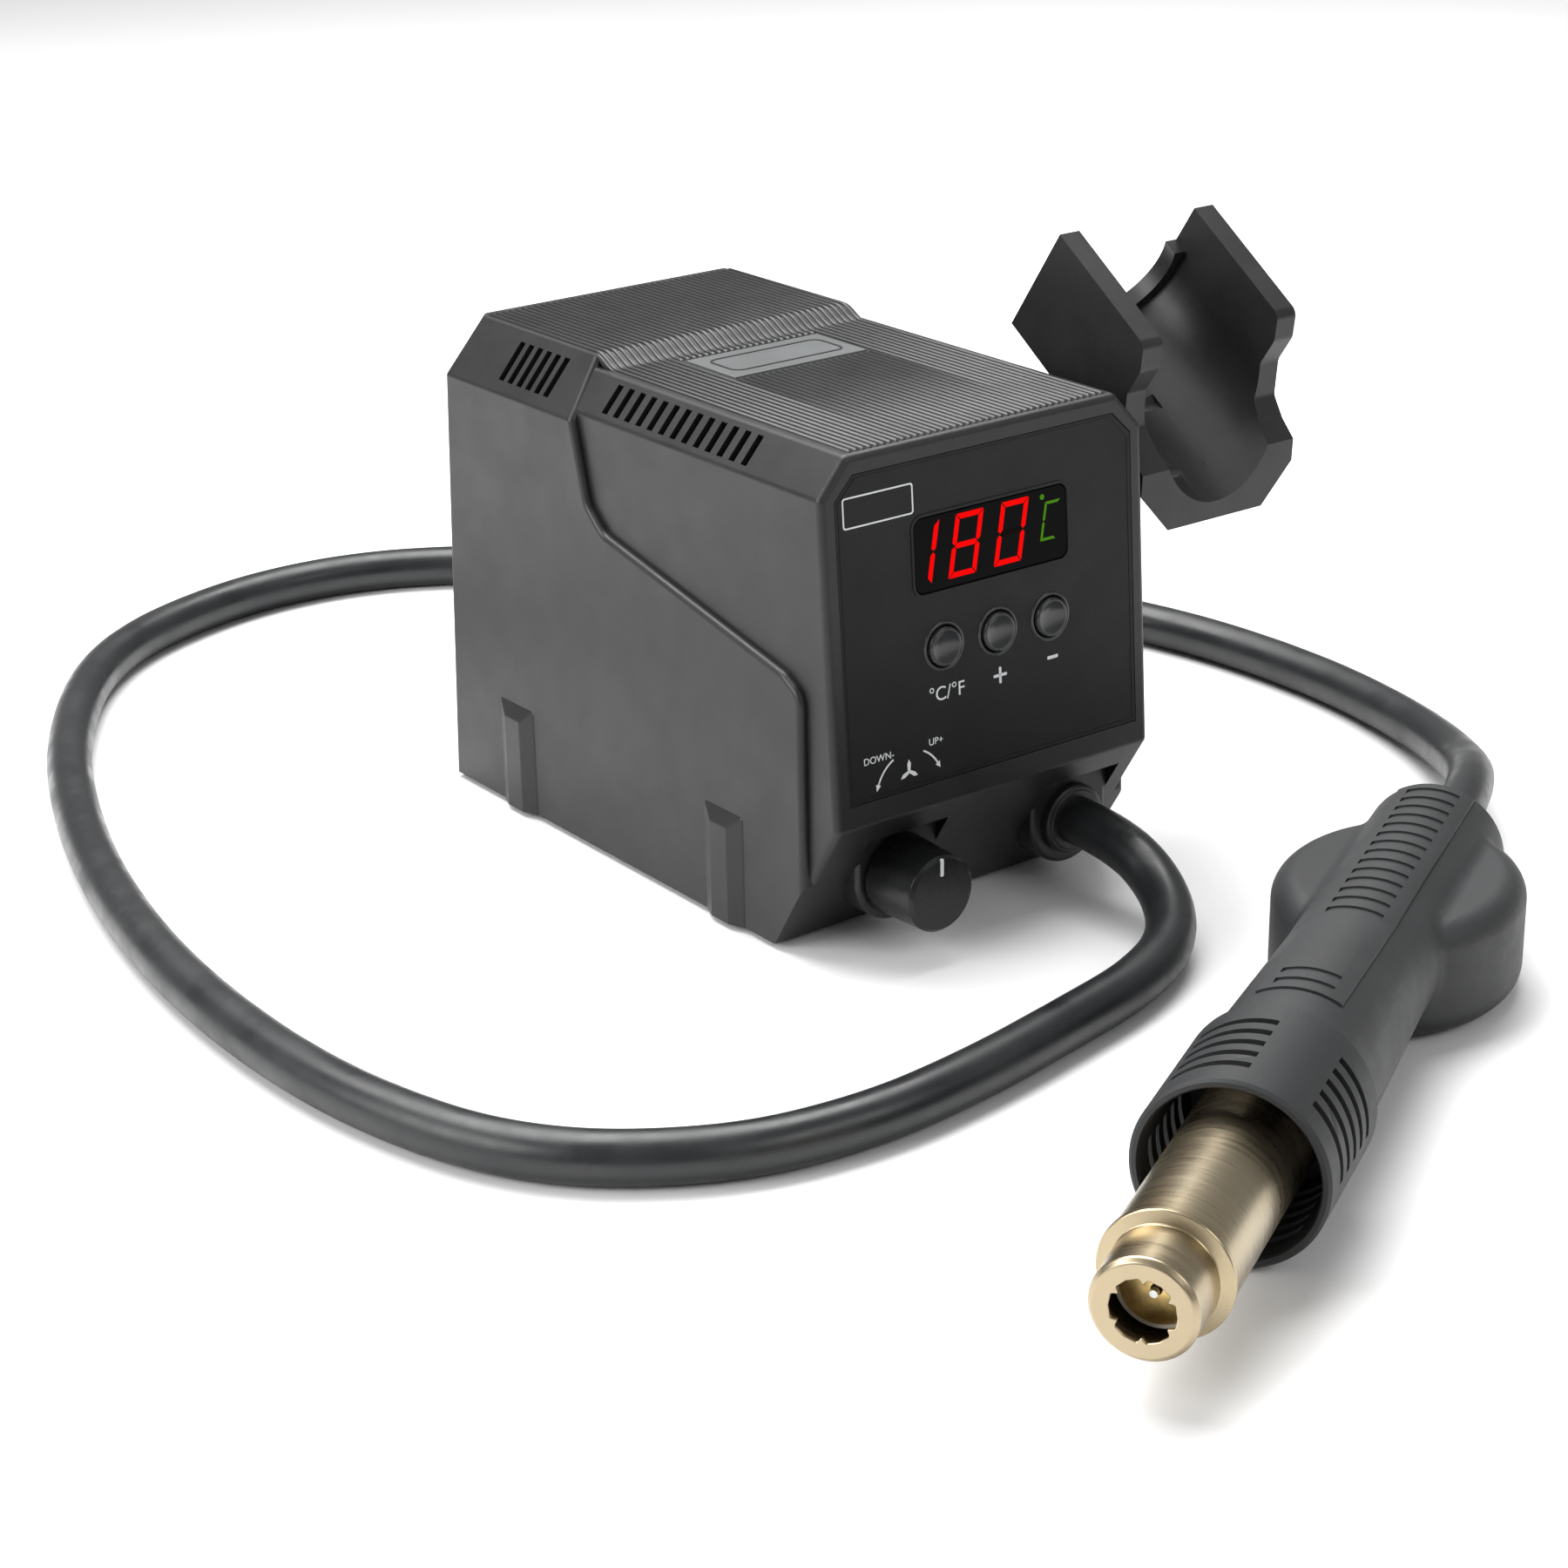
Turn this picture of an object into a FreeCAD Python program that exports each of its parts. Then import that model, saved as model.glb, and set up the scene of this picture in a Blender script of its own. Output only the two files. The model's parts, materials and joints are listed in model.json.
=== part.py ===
import FreeCAD, Part
import math
import os
import re

import Sketcher
from FreeCAD import Placement, Rotation, Vector

# Hot air station: a control base with a handpiece holder on its right side, a free
# handpiece with a built-in blower, and the hose between them. Millimetres, +Z up,
# -Y is the front. The origin lies on the bench, under the middle of base, holder and
# handpiece together.
#
# Every sub-part is drawn in the frame of the group that it belongs to, and its
# Placement puts that group in the object's frame:
#   BASE   x from the base's middle plane, y back from its front edge, z up from the bench
#   FRONT  x, up the leaning front face, and out of it
#   BACK   the same on the leaning back wall, seen from behind
#   CRADLE x, up along the trough, and square to it
#   HAND   side, up, and along the handpiece from its tip to its hose

SIZES = {
    # where the two free-standing pieces are
    "base_x": 11.0,            # middle plane of the base
    "base_y": 11.0,            # front edge of the base
    "hand_x": -112.3,          # tip of the handpiece
    "hand_y": -176.0,
    "hand_yaw": 30.1,          # degrees from +X to the handpiece's axis
    # base cover
    "base_width": 100.0,
    "base_depth": 172.0,
    "base_top": 128.2,         # top of the front section
    "rear_top": 131.3,         # top of the rear section
    "proud": 2.2,              # the rear section stands out sideways by this
    "bottom_gap": 1.5,         # lower edge of the cover above the bench
    "wall": 2.5,
    "front_lean": 5.5,         # the front face's top is further back by this
    "back_lean": 6.7,
    "under_height": 37.4,      # the front face ends here and slopes back below it
    "under_depth": 23.0,
    "shoulder_w": 8.3,         # long chamfers beside the top
    "shoulder_h": 9.3,
    "rear_shoulder_w": 12.2,
    "rear_shoulder_h": 14.3,
    "band": 11.0,              # plain band beside the front edge of each side
    "step_low": 70.0,
    "step_high": 92.0,
    "step_top_y": 110.0,
    "step_round": 1.6,
    "bend_round": 6.0,
    "edge_round": 1.8,
    "side_rib_w": 17.0,
    "side_rib_face": 7.0,
    "side_rib_out": 4.2,
    "side_rib_top": 36.5,
    "rib_round": 1.2,
    "side_rib_front_y": 43.3,
    "side_rib_rear_y": 138.0,
    "vent_w": 2.3,
    "vent_pitch": 4.9,
    "vent_len": 8.4,
    "vent_front_y": 36.5,
    "vent_rear_y": 120.5,
    "rear_vent_pitch": 4.2,
    "rear_vent_len": 11.6,
    "post_r": 4.0,
    "post_x": 41.0,
    "post_front_y": 34.0,
    "post_rear_y": 158.0,
    "post_top": 70.0,
    "screw_r": 1.5,            # small screws
    "screw_fit": 0.1,          # gap round a screw's shank in the piece it holds
    "fit": 0.2,                # gap round a piece that drops into a cut-out
    # front panel, display and buttons
    "panel_t": 0.8,
    "panel_w": 92.0,
    "panel_low": 5.8,
    "panel_high": 86.4,
    "panel_corner": 5.7,
    "window_w": 47.5,
    "window_h": 18.5,
    "window_x": 0.8,
    "window_v": 62.7,
    "window_round": 2.5,
    "window_flange": 2.0,
    "window_flange_t": 1.2,
    "display_w": 50.3,
    "display_h": 19.0,
    "display_t": 7.0,
    "board_t": 1.6,
    "board_w": 83.0,
    "board_low": 26.0,
    "board_high": 76.0,
    "button_r": 4.9,
    "button_pitch": 16.8,
    "button_x": 1.6,
    "button_v": 39.4,
    "button_out": 1.3,
    "button_flange_r": 6.2,
    "button_flange_t": 1.1,
    "button_travel": 0.8,
    "button_fit": 0.3,
    "tact_size": 6.0,
    # bosses, knob and hose gland on the lower front
    "boss_y": 9.0,             # face of both bosses
    "boss_z": 18.0,
    "boss_r": 12.4,
    "boss_top": 13.0,
    "knob_x": -24.7,
    "gland_x": 31.5,
    "knob_r": 9.9,
    "knob_skirt_r": 10.5,
    "knob_front": -8.6,
    "knob_gap": 0.8,
    "knob_wall": 2.4,
    "knob_recess": 4.0,
    "pot_r": 8.5,
    "pot_t": 9.0,
    "bush_r": 3.5,
    "bush_len": 6.0,
    "nut_af": 10.0,
    "nut_t": 2.0,
    "shaft_r": 3.0,
    "shaft_front": -3.0,
    "shaft_neck_r": 2.4,
    "shaft_fit": 0.06,
    "gland_flange_r": 9.2,
    "gland_flange_t": 2.6,
    "gland_sleeve_r": 7.9,
    "gland_front": 6.0,
    "gland_hole_r": 7.4,
    "gland_nut_r": 10.5,
    "gland_nut_t": 4.0,
    # chassis and what stands on it
    "plate_t": 1.5,
    "foot_h": 3.0,
    "foot_r": 6.0,
    "foot_x": 40.0,
    "foot_front_y": 33.0,
    "foot_rear_y": 158.0,
    "core_w": 48.0,
    "core_d": 32.0,
    "core_h": 40.0,
    "coil_w": 30.0,
    "coil_d": 46.0,
    "coil_h": 26.0,
    "core_y": 118.0,
    "power_board_w": 76.0,
    "power_board_d": 50.0,
    "power_board_y": 42.0,
    "standoff_h": 6.0,
    "standoff_r": 2.6,
    "sink_w": 30.0,
    "sink_h": 26.0,
    "sink_fin": 1.4,
    "cap_r": 5.0,
    "cap_h": 16.0,
    # mains inlet and power switch on the back
    "inlet_x": 20.0,
    "inlet_v": 33.0,
    "inlet_w": 27.0,
    "inlet_h": 19.6,
    "inlet_deep": 24.0,
    "inlet_flange_w": 50.0,
    "inlet_flange_h": 22.4,
    "inlet_flange_t": 2.4,
    "inlet_screws": 40.0,
    "socket_w": 24.4,
    "socket_h": 16.6,
    "socket_deep": 17.0,
    "switch_x": -22.0,
    "switch_w": 15.0,
    "switch_h": 21.0,
    "switch_wall": 1.6,
    "switch_deep": 16.0,
    "rocker_fit": 0.4,
    "rocker_angle": 8.0,       # the rocker tips this much each side of level
    # cradle on the right side
    "cradle_w": 52.5,
    "cradle_gap": 4.0,
    "cradle_len": 67.0,
    "cradle_h": 41.0,
    "cradle_tilt": 35.0,
    "cradle_y": 9.5,
    "cradle_z": 87.6,
    "trough_r": 19.75,
    "trough_floor": 4.0,
    "lip_r": 17.0,
    "lip_t": 4.5,
    "cradle_chamfer_w": 9.9,
    "cradle_chamfer_h": 9.0,
    "pad_r": 4.4,
    "cradle_screw_r": 1.9,
    "cradle_screw_len": 12.0,
    "magnet_r": 4.0,
    "magnet_t": 2.5,
    # badge plate on the top
    "badge_w": 42.0,
    "badge_d": 21.5,
    "badge_y": 88.0,
    "badge_t": 0.6,
    # handpiece, along its axis from the tip
    "neck_r": 11.0,            # 22 mm neck, the usual nozzle seat
    "neck_len": 14.0,
    "barrel_r": 13.3,
    "bead_r": 13.9,
    "bead_len": 2.6,
    "barrel_wall": 0.7,
    "barrel_end": 95.0,
    "tip_t": 1.0,
    "outlet_r": 6.7,           # the lobed opening that the air leaves by
    "outlet_point_r": 5.5,
    "collar_front": 57.7,
    "collar_r": 21.1,
    "collar_wall": 2.2,
    "collar_len": 39.0,
    "collar_web": 2.6,
    "collar_edge": 1.2,
    "slot_w": 2.3,
    "slot_pitch": 5.3,
    "slot_first": 7.0,
    "slot_arc": 50.0,
    "slot_turn": 21.0,
    "handle_front_r": 19.2,
    "handle_r": 17.4,
    "handle_taper_end": 158.0,
    "handle_end": 247.0,
    "handle_wall": 2.4,
    "bulge_z": 203.0,
    "bulge_len": 37.4,         # half its length
    "bulge_w": 29.5,           # half its width
    "bulge_up": 9.5,
    "bulge_down": 19.0,
    "bulge_round": 6.5,
    "bulge_blend": 5.0,
    "grip_w": 19.0,
    "grip_t": 1.2,
    "grip_out": 0.6,           # the strip stands out of the handle by this
    "groove_w": 2.8,
    "groove_pitch": 6.0,
    "grip_front": 109.0,
    "grip_rear": 240.0,
    "mica_r": 12.3,
    "mica_t": 0.6,
    "mica_front": 16.5,
    "mica_len": 74.0,
    "former_r": 8.6,
    "former_front": 9.0,
    "former_len": 84.0,
    "former_holes": 6.0,
    "former_hole_r": 1.7,
    "coil_ring_r": 9.1,
    "coil_wire_r": 0.5,
    "coil_rings": 9.0,
    "disc_r": 7.4,
    "disc_t": 0.6,
    "probe_r": 0.8,
    "probe_len": 92.0,
    "fan_r": 24.5,
    "fan_t": 14.0,
    "fan_wall": 1.5,
    "fan_low": -12.5,
    "fan_inlet_r": 11.0,
    "outlet_w": 12.0,
    "outlet_h": 10.0,
    "wheel_r": 19.0,
    "wheel_hub_r": 8.0,
    "wheel_t": 9.0,
    "blades": 18.0,
    "motor_r": 9.0,
    "axle_r": 1.0,
    "axle_fit": 0.05,
    "hose_collar_r": 9.6,
    "hose_collar_len": 11.0,
    # hose
    "hose_r": 6.25,
    "hose_lift": 6.3,          # height of its centreline where it lies on the bench
}

NAME = re.compile(r"[a-z][a-z_0-9]*")
doc = FreeCAD.newDocument("hot_air_station")
sheet = doc.addObject("Spreadsheet::Sheet", "Sizes")
for row, (size_name, size) in enumerate(SIZES.items(), 1):
    sheet.set(f"A{row}", size_name)
    sheet.set(f"B{row}", str(size))
    sheet.setAlias(f"B{row}", size_name)
doc.recompute()


def cells(formula):
    """A formula with every size's name pointed at its cell."""
    return NAME.sub(lambda m: "Sizes." + m[0] if m[0] in SIZES else m[0], str(formula))


def value(formula):
    """The number that a formula gives."""
    return float(sheet.evalExpression(cells(formula)))


def bind(item, prop, formula):
    item.setExpression(prop, cells(formula))


AXES = {"x": Vector(1, 0, 0), "y": Vector(0, 1, 0), "z": Vector(0, 0, 1)}
ALONG = {
    "z": Rotation(),
    "y": Rotation(AXES["x"], -90),
    "-y": Rotation(AXES["x"], 90),
    "x": Rotation(AXES["y"], 90),
}
# a sketch's own x and y in each plane, and the way that its extrusion goes
PLANES = {
    "xy": (Rotation(), Vector(0, 0, 1)),
    "xz": (Rotation(AXES["x"], 90), Vector(0, 1, 0)),
    "yz": (Rotation(Vector(1, 1, 1), 120), Vector(1, 0, 0)),
}
BODY_PLANES = {"xy": "XY_Plane", "xz": "XZ_Plane", "yz": "YZ_Plane"}


def move(item, at):
    for axis, formula in zip("xyz", at):
        bind(item, f".Placement.Base.{axis}", formula)


def box(name, size, low):
    item = doc.addObject("Part::Box", name)
    for prop, formula in zip(("Length", "Width", "Height"), size):
        bind(item, prop, formula)
    move(item, low)
    return item


def rod(name, radius, length, at, along="z", angle="360"):
    item = doc.addObject("Part::Cylinder", name)
    bind(item, "Radius", radius)
    bind(item, "Height", length)
    bind(item, "Angle", angle)
    item.Placement = Placement(Vector(), ALONG[along])
    move(item, at)
    return item


def cone(name, radius_1, radius_2, length, at, along="z"):
    item = doc.addObject("Part::Cone", name)
    bind(item, "Radius1", radius_1)
    bind(item, "Radius2", radius_2)
    bind(item, "Height", length)
    item.Placement = Placement(Vector(), ALONG[along])
    move(item, at)
    return item


def ring(name, radius, wire, at):
    item = doc.addObject("Part::Torus", name)
    bind(item, "Radius1", radius)
    bind(item, "Radius2", wire)
    move(item, at)
    return item


def draw(sketch, outline):
    """A closed outline of straight sides, each corner tied to its two formulas."""
    corners = [(value(u), value(v)) for u, v in outline]
    count = len(corners)
    for i in range(count):
        start, end = corners[i], corners[(i + 1) % count]
        sketch.addGeometry(Part.LineSegment(Vector(*start, 0), Vector(*end, 0)))
    for i in range(count):
        sketch.addConstraint(Sketcher.Constraint("Coincident", i, 2, (i + 1) % count, 1))
    for i in range(count):
        for kind, place, formula in zip(("DistanceX", "DistanceY"), corners[i], outline[i]):
            tie = sketch.addConstraint(Sketcher.Constraint(kind, -1, 1, i, 1, place))
            sketch.setExpression(f"Constraints[{tie}]", cells(formula))


def draw_circle(sketch, radius, centre=("0", "0")):
    middle = Vector(value(centre[0]), value(centre[1]), 0)
    index = sketch.addGeometry(Part.Circle(middle, Vector(0, 0, 1), value(radius)))
    tie = sketch.addConstraint(Sketcher.Constraint("Radius", index, value(radius)))
    sketch.setExpression(f"Constraints[{tie}]", cells(radius))
    for kind, place, formula in zip(("DistanceX", "DistanceY"), middle, centre):
        tie = sketch.addConstraint(Sketcher.Constraint(kind, -1, 1, index, 3, place))
        sketch.setExpression(f"Constraints[{tie}]", cells(formula))


def prism(name, plane, outline, length, start="0", both=False):
    """A straight extrusion of an outline. With both, it goes half the length each way."""
    turn, way = PLANES[plane]
    sketch = doc.addObject("Sketcher::SketchObject", name + "_sketch")
    sketch.Placement = Placement(Vector(), turn)
    axis = "xyz"[list(way).index(1)]
    bind(sketch, f".Placement.Base.{axis}", start)
    draw(sketch, outline)
    item = doc.addObject("Part::Extrusion", name)
    item.Base = sketch
    item.DirMode = "Custom"
    item.Dir = way
    item.Solid = True
    item.Symmetric = both
    bind(item, "LengthFwd", length)
    return item


def join(name, *items):
    item = doc.addObject("Part::MultiFuse", name)
    item.Shapes = list(items)
    item.Refine = False
    return item


def overlap(name, *items):
    item = doc.addObject("Part::MultiCommon", name)
    item.Shapes = list(items)
    item.Refine = False
    return item


def group(name, items, at=None):
    item = doc.addObject("Part::Compound", name)
    item.Links = list(items)
    item.Placement = at or Placement()
    return item


def cut(name, solid, *tools):
    item = doc.addObject("Part::Cut", name)
    item.Refine = False
    item.Base = solid
    item.Tool = tools[0] if len(tools) == 1 else join(name + "_tools", *tools)
    return item


def soften(name, solid, radius, wanted):
    """Round every edge that wanted(edge) picks."""
    doc.recompute()
    size = value(radius)
    picked = [i for i, edge in enumerate(solid.Shape.Edges, 1) if wanted(edge)]
    item = doc.addObject("Part::Fillet", name)
    item.Base = solid
    item.Edges = [(i, size, size) for i in picked]
    return item


def new_body(name):
    return doc.addObject("PartDesign::Body", name)


def body_sketch(body, plane, name, outline=None, lift=None):
    """A sketch on one of the body's own origin planes."""
    sketch = body.newObject("Sketcher::SketchObject", name)
    role = BODY_PLANES[plane]
    origin = [f for f in body.Origin.OriginFeatures if f.Role == role][0]
    sketch.AttachmentSupport = (origin, [""])
    sketch.MapMode = "FlatFace"
    if lift is not None:
        bind(sketch, ".AttachmentOffset.Base.z", lift)
    if outline is not None:
        draw(sketch, outline)
    return sketch


def pad(body, name, sketch, length, feature="PartDesign::Pad"):
    item = body.newObject(feature, name)
    item.Profile = sketch
    bind(item, "Length", length)
    return item


def lathe(name, outline):
    """A turned piece: an outline of (radius, distance along the axis), about its own Z."""
    body = new_body(name)
    sketch = body_sketch(body, "xz", name + "_section", outline)
    turn = body.newObject("PartDesign::Revolution", name + "_turn")
    turn.Profile = sketch
    turn.ReferenceAxis = (sketch, ["V_Axis"])
    turn.Angle = 360
    body.Tip = turn
    return body


def bore(body, name, outline):
    """Turn away an outline of (radius, distance along the axis)."""
    sketch = body_sketch(body, "xz", name + "_section", outline)
    groove = body.newObject("PartDesign::Groove", name)
    groove.Profile = sketch
    groove.ReferenceAxis = (sketch, ["V_Axis"])
    groove.Angle = 360
    body.Tip = groove
    return groove


# Derived places, each worked out from the sizes above
FRONT_LEAN = math.degrees(math.atan2(value("front_lean"), value("base_top - under_height")))
BACK_LEAN = math.degrees(math.atan2(value("back_lean"), value("rear_top")))
COLLAR_REST = value("collar_front + collar_len - collar_edge")
BULGE_REST = value("bulge_z + bulge_len - bulge_round")
HAND_TILT = math.degrees(math.asin(value("collar_r - bulge_down") / (BULGE_REST - COLLAR_REST)))
PLATE_Z = "foot_h"
PLATE_TOP = "(foot_h + plate_t)"
BOARD_TOP = f"({PLATE_TOP} + standoff_h + board_t)"
PANEL_BACK = "(0 - panel_t)"
WALL_BACK = "(0 - wall)"
DISPLAY_FRONT = "(0 - wall - window_flange_t - 0.1)"
BOARD_FRONT = f"({DISPLAY_FRONT} - display_t)"
KNOB_BACK = "(boss_y - knob_gap)"

BASE = Placement(Vector(value("base_x"), value("base_y"), 0), Rotation())
FRONT_IN_BASE = Placement(Vector(0, 0, value("under_height")), Rotation(AXES["x"], 90 - FRONT_LEAN))
BACK_IN_BASE = Placement(
    Vector(0, value("base_depth"), 0),
    Rotation(AXES["z"], 180) * Rotation(AXES["x"], 90 - BACK_LEAN))
CRADLE_IN_BASE = Placement(
    Vector(value("base_width / 2 + cradle_gap + cradle_w / 2"), value("cradle_y"), value("cradle_z")),
    Rotation(AXES["x"], value("cradle_tilt")))
FRONT = BASE * FRONT_IN_BASE
BACK = BASE * BACK_IN_BASE
CRADLE = BASE * CRADLE_IN_BASE
# the handpiece lies on the rear rim of its collar and on its blower bulge
HAND = Placement(
    Vector(value("hand_x"), value("hand_y"),
           value("collar_r") * math.cos(math.radians(HAND_TILT))
           + COLLAR_REST * math.sin(math.radians(HAND_TILT))),
    Rotation(AXES["z"], value("hand_yaw")) * Rotation(AXES["y"], HAND_TILT)
    * Rotation(Vector(1, 1, 1), 120))

nodes = []


def node(label, item, frame):
    """Name a finished sub-part and put it where its group stands."""
    if item.TypeId in ("Part::Box", "Part::Cylinder"):
        item = group(label + "_piece", [item])
    item.Label = label
    item.Placement = frame * item.Placement
    nodes.append(item)
    return item


# ---------------------------------------------------------------- base cover
def shell_block(name, inset, rear):
    """Half of the cover's outer form, or of its hollow: side outline by cross-section."""
    side = f"(base_width / 2 - {inset}" + (" + proud)" if rear else ")")
    low = "bottom_gap" if inset == "0" else "(bottom_gap - 5)"
    top = f"(rear_top - {inset})" if rear else f"(base_top - {inset})"
    cham_w = "rear_shoulder_w" if rear else "shoulder_w"
    cham_h = "rear_shoulder_h" if rear else "shoulder_h"
    slope_in = f"({inset} * 1.2)"
    front_slope = "front_lean / (base_top - under_height)"
    band_z = "(under_height - (under_height - bottom_gap) * band / under_depth)"
    back_low = f"(base_depth - back_lean * bottom_gap / rear_top - {inset})"
    back_high = f"(base_depth - back_lean - {inset})"
    foot_y = f"(under_depth + {slope_in})"
    if rear and inset == "0":
        outline = [
            (foot_y, low), ("band", band_z), ("band", "step_low"), ("band + 7", "step_low + 4"),
            ("step_top_y - 17", "step_high - 2"), ("step_top_y - 10", "step_high + 4"),
            ("step_top_y - 4", "rear_top - rear_shoulder_h + 2"), ("step_top_y", top),
            (back_high, top), (back_low, low)]
    elif rear:
        outline = [
            (f"step_top_y + {inset}", low), (f"step_top_y + {inset}", top),
            (back_high, top), (back_low, low)]
    else:
        outline = [
            (foot_y, low), (foot_y, f"bottom_gap + {inset} * 0.2"),
            (f"{inset} * (1 + 0.3 * {front_slope})", f"under_height + {inset} * 0.3"),
            (f"front_lean + {inset} * (1 - {front_slope})", top), ("step_top_y + 16", top), ("step_top_y + 16", low)]
        if inset == "0":
            del outline[1]
    long_way = prism(name + "_long", "yz", outline, f"2 * {side}", both=True)
    if inset == "0":
        long_way = soften(name + "_bends", long_way, "bend_round" if rear else "edge_round",
                          step_bend if rear else front_bend)
    across = [
        (f"0 - {side}", low), (f"0 - {side}", f"{top} - {cham_h}"), (f"{cham_w} - {side}", top),
        (f"{side} - {cham_w}", top), (side, f"{top} - {cham_h}"), (side, low)]
    section = prism(name + "_section", "xz", across, "base_depth + 20", start="0 - 10")
    block = overlap(name, long_way, section)
    if inset == "0":
        block = soften(name + "_soft", block, "step_round" if rear else "edge_round",
                       rear_edge if rear else main_edge)
    return block


def runs_across(edge):
    return edge.BoundBox.XLength > 0.9 * edge.Length


def step_bend(edge):
    """The bends of the rear section's front outline, below its top."""
    middle = edge.CenterOfMass
    return (runs_across(edge) and middle.y < value("step_top_y - 1")
            and value("step_low - 1") < middle.z < value("rear_top - 3"))


def front_bend(edge):
    """The upper and lower ends of the leaning front face."""
    return runs_across(edge) and edge.CenterOfMass.y < value("front_lean + 1")


def rear_edge(edge):
    """The rear section's outline on both sides, and the long edges of its chamfers."""
    middle = edge.CenterOfMass
    flat = runs_across(edge)
    at_foot = middle.z < value("bottom_gap + 1")
    low_front = middle.y < value("band + 13") and middle.z < value("step_low - 45")
    return not flat and not at_foot and not low_front


def main_edge(edge):
    """The front face's sides and the long edges of the front section's chamfers."""
    middle = edge.CenterOfMass
    at_foot = middle.z < value("bottom_gap + 1")
    hidden = middle.y > value("step_top_y + 15")
    return not runs_across(edge) and not at_foot and not hidden


def side_rib(name, y, sign):
    """A half-hexagonal rib low on one side, with a sloped top."""
    root = f"{sign} * (base_width / 2 - wall / 2)"
    face = f"{sign} * (base_width / 2 + proud + side_rib_out - 2.2)"
    plan = prism(name + "_plan", "xy", [
        (root, f"{y} - side_rib_w / 2"), (f"{sign} * (base_width / 2 + proud)", f"{y} - side_rib_w / 2"),
        (face, f"{y} - side_rib_face / 2"), (face, f"{y} + side_rib_face / 2"),
        (f"{sign} * (base_width / 2 + proud)", f"{y} + side_rib_w / 2"), (root, f"{y} + side_rib_w / 2")],
        "side_rib_top", start="bottom_gap")
    slope = prism(name + "_slope", "xz", [
        (root, "bottom_gap"), (face, "bottom_gap"), (face, "side_rib_top - 9"),
        (root, "side_rib_top + 1")], "side_rib_w + 2", start=f"{y} - side_rib_w / 2 - 1")
    inside = abs(value(root)) + 0.01

    def outer_edge(edge):
        return abs(edge.CenterOfMass.x) > inside and edge.CenterOfMass.z > value("bottom_gap + 0.1")

    return soften(name + "_soft", overlap(name, plan, slope), "rib_round", outer_edge)


def boss_form(name, x, radius, y_from, y_to, top):
    """A boss that is square above its middle and round below it."""
    length = f"({y_to}) - ({y_from})"
    return join(
        name,
        rod(name + "_round", radius, length, (x, y_from, "boss_z"), "y"),
        box(name + "_square", (f"2 * ({radius})", length, top), (f"{x} - ({radius})", y_from, "boss_z")))


def vent_slots(name, count, first_y, pitch, length, half_width, top, cham_w, cham_h, sign):
    """A row of slots square through one of the long chamfers."""
    angle = math.degrees(math.atan2(value(cham_h), value(cham_w)))
    slots = [
        box(f"{name}_{i}", (length, "vent_w", "wall * 4"),
            (f"0 - ({length}) / 2", f"{first_y} + {i} * {pitch} - vent_w / 2", "0 - wall * 2"))
        for i in range(count)]
    middle = Vector(value(f"{sign} * ({half_width} - {cham_w} / 2)"), 0, value(f"{top} - {cham_h} / 2"))
    return group(name, slots, Placement(middle, Rotation(AXES["y"], sign * angle)))


def corners(x, low, high):
    """Four places, at x and low or high on both sides."""
    return [(f"{sx} * {x}", y) for sx in (-1, 1) for y in (low, high)]


BOARD_CORNERS = corners("(board_w / 2 - 4)", "(board_low + 4)", "(board_high - 4)")


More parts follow.
